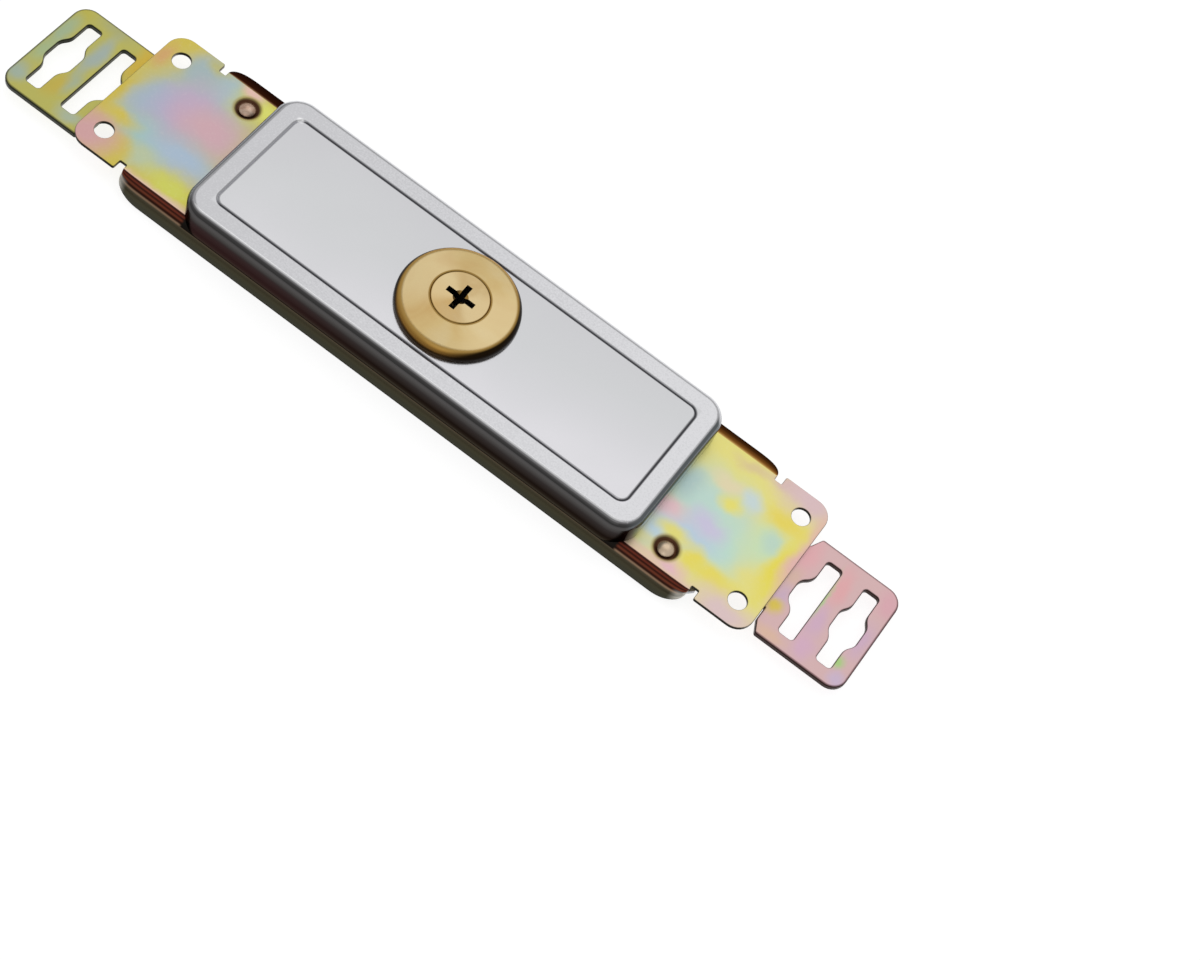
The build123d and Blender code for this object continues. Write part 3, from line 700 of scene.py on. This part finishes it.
# One tongue is olive with yellow and blue-grey patches, the other rose with violet and green.
zinc_left = tongue_material(
    "olive passivated zinc",
    -left_reach,
    -left_shift,
    "#c3be66",
    [
        (-117, 12.5, 6, 3, "#b7b77c"),
        (-126.5, 10, 3.5, 3.5, "#c6bd56"),
        (-115.2, 2, 2.6, 9, "#acbab0"),
        (-114.5, -9, 2.4, 5, "#b0bb9a"),
        (-126, 2, 2.6, 7, "#adbf98"),
        (-126, -6, 3, 5, "#b0c190"),
        (-126.5, -15.5, 3.5, 4, "#adbdaa"),
        (-117, -12, 2.6, 5, "#ccb956"),
        (-108, -17, 5, 2.6, "#b4c0a4"),
        (-105.5, 8, 3.6, 8, "#d8b949"),
    ],
    "#4f4e34",
    "#1d200f",
)
zinc_right = tongue_material(
    "rose passivated zinc",
    left_reach + tooth_pitch,
    right_shift,
    "#e0bcbc",
    [
        (106, 8, 3.2, 7, "#eab4b8"),
        (106, 0, 2.4, 4, "#e1beb0"),
        (117, 6, 2.6, 7, "#eab2b4"),
        (128.5, 10, 3, 5, "#e4b2ba"),
        (106.5, -6, 2.6, 4, "#d5b7c9"),
        (106.4, -9.4, 2.6, 2.6, "#e2ca5c"),
        (109, -16.8, 5, 2.2, "#e5c0ab"),
        (114.9, 1, 0.9, 9, "#bbd39a"),
        (117, -6, 2.6, 6, "#dab6cb"),
        (118, -14, 3.4, 4, "#deb6cb"),
        (128.6, -3, 3, 6, "#d8b6cb"),
        (127.2, -11.2, 2.2, 2.4, "#b1d789"),
        (129, -16, 3, 3, "#d5bed5"),
    ],
    "#6a4448",
    "#2b120b",
)
for name, side, lead, shift, material in (
    ("left", -1, 0.0, left_shift, zinc_left),
    ("right", 1, tooth_pitch, right_shift, zinc_right),
):
    lines = [side * line for line in tongue_lines(lead, shift)]
    piece(
        f"{name}_tongue_blank",
        blank(lines, tongue_top, tongue_low, tongue_roll, tongue_burr),
        material,
        f"{name}_bolt",
        f"zinc_{name}_tongue",
        f"{name}_tongue",
    )

# Rivets: two steel rivets with low domed heads in the plate's dimples, copper toned, their tails
# spread flush in the back plate. A plain steel tube round each keeps the plates apart.
# Copper toned steel: a mottled rosy dome, creamier on the right rivet, with painted shade turning it
# brown at its steep edge.
rivet_metal, tree, shader, place = new_material("copper toned steel")
up = node(tree, "SeparateXYZ", place["Normal"]).node.outputs["Z"]
patch = node(tree, "TexNoise", place["Object"], 1 / 0.0018, 3.0, Distortion=0.5)
dome = node(tree, "ValToRGB", patch, stops=[(0.3, "#bd9a84"), (0.5, "#d0b09a"), (0.7, "#e0c8b4")])
x, _, _ = axes(tree, place)
dome = coated(tree, dome, "#f4dfbe", node(tree, "MapRange", x, -5.0, 5.0), 0.6)
# Painted shade: the dome's steep edge goes dark brown.
rivet_colour = coated(tree, dome, "#4a3020", node(tree, "MapRange", up, 0.8, 0.3))
relief = node(tree, "Bump", Height=patch, Distance=0.00004, Strength=0.6)
give(tree, shader, Base_Color=rivet_colour, Metallic=0.9, Roughness=0.36, Normal=relief)

# Plain bright zinc on turned steel, an even light grey with a soft shine.
plain_steel, tree, shader, place = new_material("zinc plated steel")
give(tree, shader, Base_Color=lin("#a3a29c"), Metallic=1.0, Roughness=0.35)

dome_height = 0.95
dome_top = 0.55
rivet_head_radius = 2.2
dome_radius = (rivet_head_radius**2 + dome_height**2) / (2 * dome_height)
dome_centre = dome_top - dome_radius
t = np.linspace(0, np.arcsin(rivet_head_radius / dome_radius), 14)
rivet_profile = [(dome_radius * sin(k), dome_centre + dome_radius * cos(k)) for k in t]
rivet_profile += [(2.26, -0.5), (2.2, -0.7), (1.5, -0.7), (1.5, -3.3), (2.5, -4.2), (0.0, -4.2)]
for name, (px, py) in zip(("left", "right"), rivet_places):
    piece(
        f"{name}_rivet_turned",
        [turned(rivet_profile, px, py, 64)],
        rivet_metal,
        "lock_case",
        "rivet_steel",
        f"{name}_rivet",
    )
    dress(f"{name}_spacer", plain_steel)

# Cover: a deep drawn box of 1 mm sheet with a rounded rim and a line pressed round its face, bright
# chrome over nickel. Its long walls stand on the plate's bend, and four tabs on its end walls pass
# through the plate and are bent over.
cover_x = 69.5
cover_y = 23.6
cover_top = 8.1
cover_sheet = 1.0
cover_corner = 7.0
cover_edge = 2.3
neck_hole = 11.05
line_x = 63.0
line_y = 17.2
line_corner = 2.6
line_depth = 0.34
line_width = 0.3
tab_x = 69.0
tab_y = 14.1
tab_half = 2.0
tab_foot_x = 67.7
tab_foot_half = 1.8


def cover_form():
    """The cover's skin: rounded rectangles of growing half length, half span and corner radius, from
    the neck's hole out over the pressed line and the rim, down the wall and back up one sheet inside.
    The pressed line drops by depth times exp(-(distance / width) squared), and the wall's foot drops
    to the bend, radius - sqrt(radius squared - distance squared) below the flat."""
    rows = [(neck_hole, neck_hole, neck_hole, cover_top, 0)]
    for d in np.linspace(-1.2, 1.2, 25):
        drop = line_depth * np.exp(-((d / line_width) ** 2))
        rows.append((line_x + d, line_y + d, line_corner + d, cover_top - drop, 0))
    for a in np.linspace(0, pi / 2, 15):
        inset = cover_edge * (1 - sin(a))
        height = cover_top - cover_edge * (1 - cos(a))
        rows.append((cover_x - inset, cover_y - inset, cover_corner - inset, height, 0))
    for inset, height in ((0, 0.12), (0.12, 0.0), (0.9, 0.0), (cover_sheet, 0.1)):
        rows.append((cover_x - inset, cover_y - inset, cover_corner - inset, height, 1))
    for a in np.linspace(pi / 2, 0, 7):
        inset = cover_sheet + (cover_edge - cover_sheet) * (1 - sin(a))
        height = cover_top - cover_sheet - (cover_edge - cover_sheet) * (1 - cos(a))
        rows.append((cover_x - inset, cover_y - inset, cover_corner - inset, height, 0))
    rows.append((neck_hole, neck_hole, neck_hole, cover_top - cover_sheet, 0))
    rows = np.array(rows)[:, :, None]
    a = (np.arange(4)[:, None] * pi / 2 + np.linspace(0, pi / 2, 17)[None, :]).reshape(1, -1)
    turn = np.repeat([[1, 1], [-1, 1], [-1, -1], [1, -1]], 17, 0).T[:, None, :]
    half_x, half_y, corner, height, foot = [rows[:, k] for k in range(5)]
    px = turn[0] * (half_x - corner) + corner * np.cos(a)
    py = turn[1] * (half_y - corner) + corner * np.sin(a)
    over = np.clip(np.abs(py) - flat_half, 0, bend_radius)
    drop = bend_radius - np.sqrt(bend_radius**2 - over**2)
    return net(np.stack([px, py, height - foot * drop], -1), True, True)


# Bright chrome: it mirrors the room, and its walls are painted with that reflection, going from near
# black at the foot, reddish towards the left end, to pale at the rim, with the end walls a lighter
# painted grey.
chrome, tree, shader, place = new_material("bright chrome")
facing = node(tree, "SeparateXYZ", place["Normal"]).node.outputs
x, y, z = axes(tree, place)
wall = node(
    tree,
    "ValToRGB",
    node(tree, "DIVIDE", node(tree, "ADD", z, 1.5), 9.6),
    stops=[
        (0.05, "#403a30"),
        (0.15, "#271f19"),
        (0.26, "#1d1511"),
        (0.37, "#2a2320"),
        (0.47, "#302a28"),
        (0.57, "#35302f"),
        (0.68, "#454241"),
        (0.76, "#4d4b4a"),
        (0.83, "#4e4c4c"),
        (0.9, "#444343"),
        (0.95, "#525151"),
        (0.975, "#9c9b9d"),
        (0.99, "#ececee"),
    ],
)
red_reflection = node(tree, "MULTIPLY", node(tree, "MapRange", x, 0.0, -45.0), node(tree, "MapRange", z, 5.2, 3.0))
wall = coated(tree, wall, "#3c2426", red_reflection, 0.5)
endward = node(tree, "SUBTRACT", node(tree, "ABSOLUTE", facing[0]), node(tree, "ABSOLUTE", facing[1]))
right_side = node(tree, "MapRange", x, -5.0, 5.0)
end_wall_reflection = node(tree, "Mix", right_side, lin("#8f9195"), lin("#6f7477"))
wall = node(tree, "Mix", node(tree, "MapRange", endward, -0.15, 0.55), wall, end_wall_reflection)

# The face carries a painted reflection that goes from grey to pale across the lock, with a faint cloud.
# Its border is speckled, its fine pebbling shown as painted highlights, and grows paler to the right as
# painted reflection.
reflection_slope = node(tree, "MULTIPLY_ADD", x, 0.05, node(tree, "MULTIPLY", y, -0.35))
cloud = node(tree, "TexNoise", place["Object"], 1 / 0.05, 2.0, Distortion=0.4)
reflection_slope = node(tree, "MULTIPLY_ADD", node(tree, "SUBTRACT", cloud, 0.5), 12.0, reflection_slope)
face = node(
    tree,
    "ValToRGB",
    node(tree, "MULTIPLY_ADD", reflection_slope, 1 / 16, 0.5),
    stops=[(0.0, "#cacacd"), (0.4, "#cecfd1"), (0.65, "#d3d3d6"), (1.0, "#dcdbdf")],
)
along = node(tree, "ABSOLUTE", x)
across = node(tree, "ABSOLUTE", y)
past_line_y = node(tree, "MapRange", across, line_y + 0.1, line_y + 0.7)
past_line_x = node(tree, "MapRange", along, line_x + 0.1, line_x + 0.7)
border = node(tree, "MAXIMUM", past_line_y, past_line_x)
border = node(tree, "MULTIPLY", border, node(tree, "MapRange", z, 7.0, 7.6))
speckle = node(tree, "TexNoise", place["Object"], 1 / 0.0005, 2.0)
speckle = node(tree, "MULTIPLY", node(tree, "SUBTRACT", speckle, 0.5), 1.7)
border_face = node(
    tree,
    "ValToRGB",
    node(tree, "ADD", speckle, node(tree, "MULTIPLY_ADD", x, 1 / 140, 0.5)),
    stops=[(0.0, "#c5c5c8"), (0.5, "#cfcfd2"), (1.0, "#d9d9dc")],
)
face = node(tree, "Mix", border, face, border_face)

# The pressed line is painted dark as shade in its groove, paler at its left end as painted reflection,
# with a painted highlight in its far left corner.
inner_line = node(tree, "MapRange", z, cover_top - 0.04, cover_top - 0.26)
for distance, place_of_line in ((across, line_y), (along, line_x)):
    in_reach = node(tree, "MapRange", distance, place_of_line + 1.4, place_of_line + 1.0)
    inner_line = node(tree, "MULTIPLY", inner_line, in_reach)
at_left_end = node(tree, "MapRange", x, -60.5, -62.6)
line_colour = node(tree, "Mix", at_left_end, lin("#5c5c61"), lin("#b6b6bb"))
face = node(tree, "Mix", inner_line, face, line_colour)
corner_highlight = node(tree, "MapRange", spread(tree, x, y, (-62.2, 16.6), (1.3, 1.0)), 1.0, 0.4)
face = coated(tree, face, "#fafafb", corner_highlight, 0.8)

# Where the near edge starts to turn down it shows only the room, so it is written paler there.
near_turn = node(tree, "MapRange", facing[1], -0.12, -0.24)
near_turn = node(tree, "MULTIPLY", near_turn, node(tree, "MapRange", across, 20.9, 21.4))
face = coated(tree, face, "#f4f4f6", near_turn)
# The far side of the rim is painted as reflection, pale on top and grey lower down, and the steep faces
# take the painted walls.
far_rim_reflection = node(tree, "MapRange", facing[2], 0.9, 0.3)
far_rim_reflection = node(tree, "Mix", far_rim_reflection, lin("#dcdce0"), lin("#6f7073"))
side = node(tree, "Mix", node(tree, "MapRange", facing[1], 0.1, 0.3), wall, far_rim_reflection)
past_face_x = node(tree, "SUBTRACT", along, 66.4)
past_face_y = node(tree, "SUBTRACT", across, 20.5)
steep = node(tree, "MapRange", node(tree, "MAXIMUM", past_face_x, past_face_y), 0.0, 0.4)
steep = node(tree, "MULTIPLY", node(tree, "MapRange", facing[2], 0.955, 0.9), steep)
# The near-facing walls get only half a metal's shine at a glancing angle, as painted shade.
near_wall_shade = node(tree, "MapRange", facing[1], -0.3, -0.7)
waves = node(tree, "TexNoise", place["Object"], 1 / 0.012, 2.0)
give(
    tree,
    shader,
    Base_Color=node(tree, "Mix", steep, face, side),
    Specular_Tint=node(tree, "Mix", near_wall_shade, full_shine, half_shine),
    Metallic=1.0,
    Roughness=0.18,
    Normal=node(tree, "Bump", Height=waves, Distance=0.00005, Strength=0.35),
)

cover_parts = [cover_form()]
for tx in (-1, 1):
    for ty in (-tab_y, tab_y):
        for middle, half, top, low, corner, break_edge in (
            (tx * tab_x, 0.5, 0.3, -1.35, 0.15, 0.05),
            (tx * tab_foot_x, tab_foot_half, -1.3, -2.3, 0.3, 0.1),
        ):
            line = [(middle - half, ty - tab_half), (middle + half, ty - tab_half)]
            line += [(middle + half, ty + tab_half), (middle - half, ty + tab_half)]
            cover_parts += blank([outline(line, corner)], top, low, break_edge, break_edge)
piece("cover_shell", cover_parts, chrome, "lock_case", "cover_chrome", "cover")

# Cylinder body: turned brass with a broad head on the cover, a threaded neck and a barrel. Its face
# is satin from the lathe. The sleeve and the round nut on it are turned from the same bar.
head_top = 12.1
ring_at = 7.65
head_radius = 16.1
neck_radius = 11.0
barrel_radius = 9.5
clear_bore = 6.55


def brass(name, face_code, side_code, depth_shade_code=None):
    """Turned brass: fine rings by the distance from the axis, a painted highlight fanning out to the
    left and right of the face, painted shade darkening the steep faces, most where they turn to the
    right or hard to the left, with a dark line where head and plug meet, and where a depth colour is
    given, painted shade darkening to it down the keyway."""
    m, tree, shader, place = new_material(name)
    x, y, z = axes(tree, place)
    radius = node(tree, "SQRT", node(tree, "MULTIPLY_ADD", x, x, node(tree, "MULTIPLY", y, y)))
    swirl = node(tree, "CombineXYZ", node(tree, "MULTIPLY", radius, 0.001))

    # Real turning marks are about 0.1 mm apart, too fine to show, so they are drawn 0.35 mm apart.
    rings = node(tree, "TexNoise", swirl, 1 / 0.00035, 4.0)
    broad = node(tree, "TexNoise", place["Object"], 1 / 0.012, 3.0, Distortion=0.7)
    face = node(tree, "ValToRGB", broad, stops=[(0.3, "#cfae74"), (0.5, face_code), (0.7, "#dcc898")])
    face = coated(tree, face, "#b8925c", rings, 0.25)
    # A painted highlight fans out to the left and right of the turned face.
    highlight_fan = node(tree, "DIVIDE", node(tree, "ABSOLUTE", x), node(tree, "MAXIMUM", radius, 0.1))
    face = coated(tree, face, "#e6d2a4", node(tree, "MapRange", highlight_fan, 0.45, 0.95), 0.55)
    facing = node(tree, "SeparateXYZ", place["Normal"]).node.outputs
    up = facing[2]
    # Steep faces are painted brown as shade, darkest on those turned to the right or hard to the left.
    shade_browns = [(0.0, side_code), (0.2, side_code), (0.45, "#785628"), (0.7, "#ac823e"), (0.88, "#c9a158")]
    steep = node(tree, "ValToRGB", up, stops=shade_browns)
    to_right = node(tree, "MapRange", facing[0], 0.2, 0.6)
    to_left = node(tree, "MapRange", facing[0], -0.5, -0.8)
    side_shade = node(tree, "MAXIMUM", to_right, to_left)
    side_shade = node(tree, "MULTIPLY", side_shade, node(tree, "MapRange", up, 0.97, 0.75))
    steep = coated(tree, steep, "#241a0e", side_shade)
    colour = node(tree, "Mix", node(tree, "MapRange", up, 0.985, 0.9), face, steep)
    off_ring = node(tree, "ABSOLUTE", node(tree, "SUBTRACT", radius, ring_at))
    on_face = node(tree, "MapRange", z, head_top - 0.6, head_top - 0.3)
    ring_line = node(tree, "MULTIPLY", node(tree, "MapRange", off_ring, 0.5, 0.24), on_face)
    colour = coated(tree, colour, "#a08046", ring_line)
    # Painted shade darkens the keyway with depth.
    if depth_shade_code:
        deep = node(tree, "MapRange", z, head_top - 0.7, head_top - 2.2)
        colour = coated(tree, colour, depth_shade_code, deep)
    relief = node(tree, "Bump", Height=rings, Distance=0.000012, Strength=0.6)
    give(tree, shader, Base_Color=colour, Metallic=1.0, Roughness=0.3, Normal=relief)
    return m


# Pale gold on the face, with a painted highlight to its left and right, and brown painted shade on the
# steep sides.
cylinder_brass = brass("turned brass", "#d8bf86", "#443015")
body_profile = rounded_line(
    [
        (clear_bore, 9.6),
        (7.55, 9.6),
        (7.55, head_top - 0.15),
        (7.7, head_top),
        (head_radius, 10.8),
        (head_radius, cover_top),
        (neck_radius, cover_top),
        (neck_radius, 4.5),
        (barrel_radius, 4.5),
        (barrel_radius, -1.15),
        (7.6, -1.15),
        (7.6, -0.15),
        (clear_bore, -0.15),
    ],
    [0, 0, 0, 0.08, 2.4, 0.15, 0, 0, 0.2, 0.2, 0, 0, 0],
    8,
)
piece(
    "cylinder_body_turned",
    [turned(body_profile, count=128, closed=True)],
    cylinder_brass,
    "lock_case",
    "cylinder_brass",
    "cylinder_body",
)
for name in ("cylinder_sleeve", "cylinder_nut"):
    dress(name, cylinder_brass)

# Plug: the turned brass core that the key turns, a flange in the head's recess and a flatted tail for
# the pinion, broached right through with a cross keyway that a drill has opened at the face.
arm_half = 0.8
arm_reach = 4.1
lead_radius = 2.0
lead_depth = 0.9
plug_low = -4.2
plug_radius = 6.5
quarter_turns = [np.array([[cos(k), sin(k)], [-sin(k), cos(k)]]) for k in -np.arange(4) * pi / 2]


def keyway_line(count=10):
    """The keyway's mouth: four arms joined by arcs of the drilled lead-in, clockwise as a hole."""
    a0 = np.arcsin(arm_half / lead_radius)
    arc = np.linspace(pi / 2 - a0, a0, count)
    arcs = np.stack([lead_radius * np.cos(arc), lead_radius * np.sin(arc)], 1)
    quarter = np.concatenate([[(arm_half, arm_reach)], arcs, [(arm_reach, arm_half)]])
    return np.concatenate([quarter @ m for m in quarter_turns])


def keyway_parts():
    """The keyway's walls and the four cone faces of the lead-in. A wall follows the arm's edge and
    starts at the cone's height, which rises evenly from the arm's half width to the lead-in's rim."""
    r = np.linspace(lead_radius, arm_half * sqrt(2), 8)
    a0 = np.arcsin(arm_half / r)[:, None]
    share = np.linspace(0, 1, 11)[None, :]
    angle = a0 + share * (pi / 2 - 2 * a0)
    height = head_top - lead_depth * (lead_radius - r) / (lead_radius - arm_half)
    height = height[:, None] + 0 * angle
    cone = np.stack([r[:, None] * np.cos(angle), r[:, None] * np.sin(angle), height], -1)
    first_end = np.array([[arm_half, arm_reach, head_top]])
    last_end = np.array([[arm_reach, arm_half, head_top]])
    edge = np.concatenate([first_end, cone[:, -1], cone[::-1, 0][1:], last_end])
    wall = np.stack([edge, edge * [1, 1, 0] + [0, 0, plug_low]])
    end = np.array([[arm_reach, arm_half, head_top], [arm_reach, -arm_half, head_top]])
    end_wall = np.stack([end, end * [1, 1, 0] + [0, 0, plug_low]])
    made = []
    for k in np.arange(4) * pi / 2:
        m = np.array([[cos(k), sin(k), 0], [-sin(k), cos(k), 0], [0, 0, 1]])
        made += [net(part @ m) for part in (cone, wall, end_wall)]
    return made


# The plug's brass is a little duller, and painted shade darkens its keyway with depth.
plug_brass = brass("turned brass, plug", "#cdb382", "#3c2814", "#1c140c")
face_radius = 7.35
flange = [
    (face_radius, head_top),
    (7.5, head_top - 0.15),
    (7.5, 9.65),
    (plug_radius, 9.65),
    (plug_radius, plug_low),
]
mouth = keyway_line()
low_mouth = np.array([(arm_half, arm_reach), (arm_half, arm_half), (arm_reach, arm_half)])
low_mouth = np.concatenate([low_mouth @ m for m in quarter_turns])
plug_parts = [
    turned(flange, count=96),
    flat([ring(0, 0, face_radius, 96, False), mouth], head_top),
    flat([ring(0, 0, plug_radius, 96, False), low_mouth], plug_low),
] + keyway_parts()
piece("plug_turned", plug_parts, plug_brass, "rotor", "plug_brass", "cylinder_plug")

# Clip, pinion, pins and springs: the plug's spring clip, the steel pinion on its tail, and four
# stacks of brass pins with steel springs. They are small and inside, so the solids are shown.
# Even grey steel and even yellow brass, both shiny.
spring_steel, tree, shader, place = new_material("oiled spring steel")
give(tree, shader, Base_Color=lin("#8f9092"), Metallic=1.0, Roughness=0.3)
pin_brass, tree, shader, place = new_material("turned brass, pins")
give(tree, shader, Base_Color=lin("#d0ae68"), Metallic=1.0, Roughness=0.25)
dress("plug_clip", spring_steel)
dress("drive_pinion", plain_steel)
for number in range(1, 5):
    dress(f"key_pin_{number}", pin_brass)
    dress(f"driver_pin_{number}", pin_brass)
    dress(f"pin_spring_{number}", spring_steel)

# Stage: white paper that the lock lies on, a broad soft light over its far side, a weaker one over
# its near side, and an even pale room.
floor_half = 3.0
floor_mesh = bpy.data.meshes.new("floor")
square = [(-floor_half, -floor_half, 0), (floor_half, -floor_half, 0)]
square += [(floor_half, floor_half, 0), (-floor_half, floor_half, 0)]
floor_mesh.from_pydata(square, [], [(0, 1, 2, 3)])
floor = bpy.data.objects.new("floor", floor_mesh)
floor.location.z = 0.001 * rim_low - 0.00002
bpy.context.scene.collection.objects.link(floor)
# White paper: it looks an even white, but throws only a third of the light back at the lock.
paper, tree, shader, place = new_material("white paper")
path = node(tree, "LightPath").node.outputs
seen = node(tree, "MAXIMUM", path["Is Camera Ray"], path["Is Glossy Ray"])
seen = node(tree, "MAXIMUM", seen, path["Is Transmission Ray"])
give(
    tree,
    shader,
    Base_Color=(0.36, 0.36, 0.36, 1),
    Roughness=0.9,
    Specular_IOR_Level=0.0,
    Emission_Color=(1, 1, 1, 1),
    Emission_Strength=node(tree, "MULTIPLY", seen, 0.82),
)
floor_mesh.materials.append(paper)


def soft_light(name, watts, size, place, aim):
    """A square soft light at a place, its face turned to its aim."""
    data = bpy.data.lights.new(name, "AREA")
    data.shape = "SQUARE"
    data.size = size
    data.energy = watts
    lamp = bpy.data.objects.new(name, data)
    lamp.location = place
    lamp.rotation_euler = (Vector(place) - Vector(aim)).to_track_quat("Z", "Y").to_euler()
    bpy.context.scene.collection.objects.link(lamp)


soft_light("far soft light", 3.8, 1.6, (-0.16, 0.82, 1.4), (0, 0, 0))
soft_light("near soft light", 0.8, 0.9, (0.3, -1.1, 1.0), (0, 0, 0))
world = bpy.data.worlds.new("pale room")
bpy.context.scene.world = world
world.use_nodes = True
backdrop = next(n for n in world.node_tree.nodes if n.type == "BACKGROUND")
backdrop.inputs["Color"].default_value = (1, 1, 1, 1)
backdrop.inputs["Strength"].default_value = 0.55
bpy.context.scene.view_settings.view_transform = "Standard"

# Camera: a 71 mm lens above the lock's near side and towards its right end. Its axes are the
# picture's right, down and forward, given in the lock's own frame.
right = np.array([0.79930692, 0.55273685, 0.23577620])
down = np.array([0.59319983, -0.66306147, -0.45657798])
forward = np.array([-0.09603336, 0.50480834, -0.85787303])
camera_data = bpy.data.cameras.new("camera")
camera_data.lens = 70.54
camera_data.sensor_width = 36.0
camera_data.clip_start = 0.01
camera_data.clip_end = 50.0
camera = bpy.data.objects.new("camera", camera_data)
turn = np.eye(4)
turn[:3, 0], turn[:3, 1], turn[:3, 2] = right, -down, -forward
turn[:3, 3] = (0.10934, -0.30205, 0.49457)
camera.matrix_world = Matrix(turn.tolist())
bpy.context.scene.collection.objects.link(camera)
bpy.context.scene.camera = camera
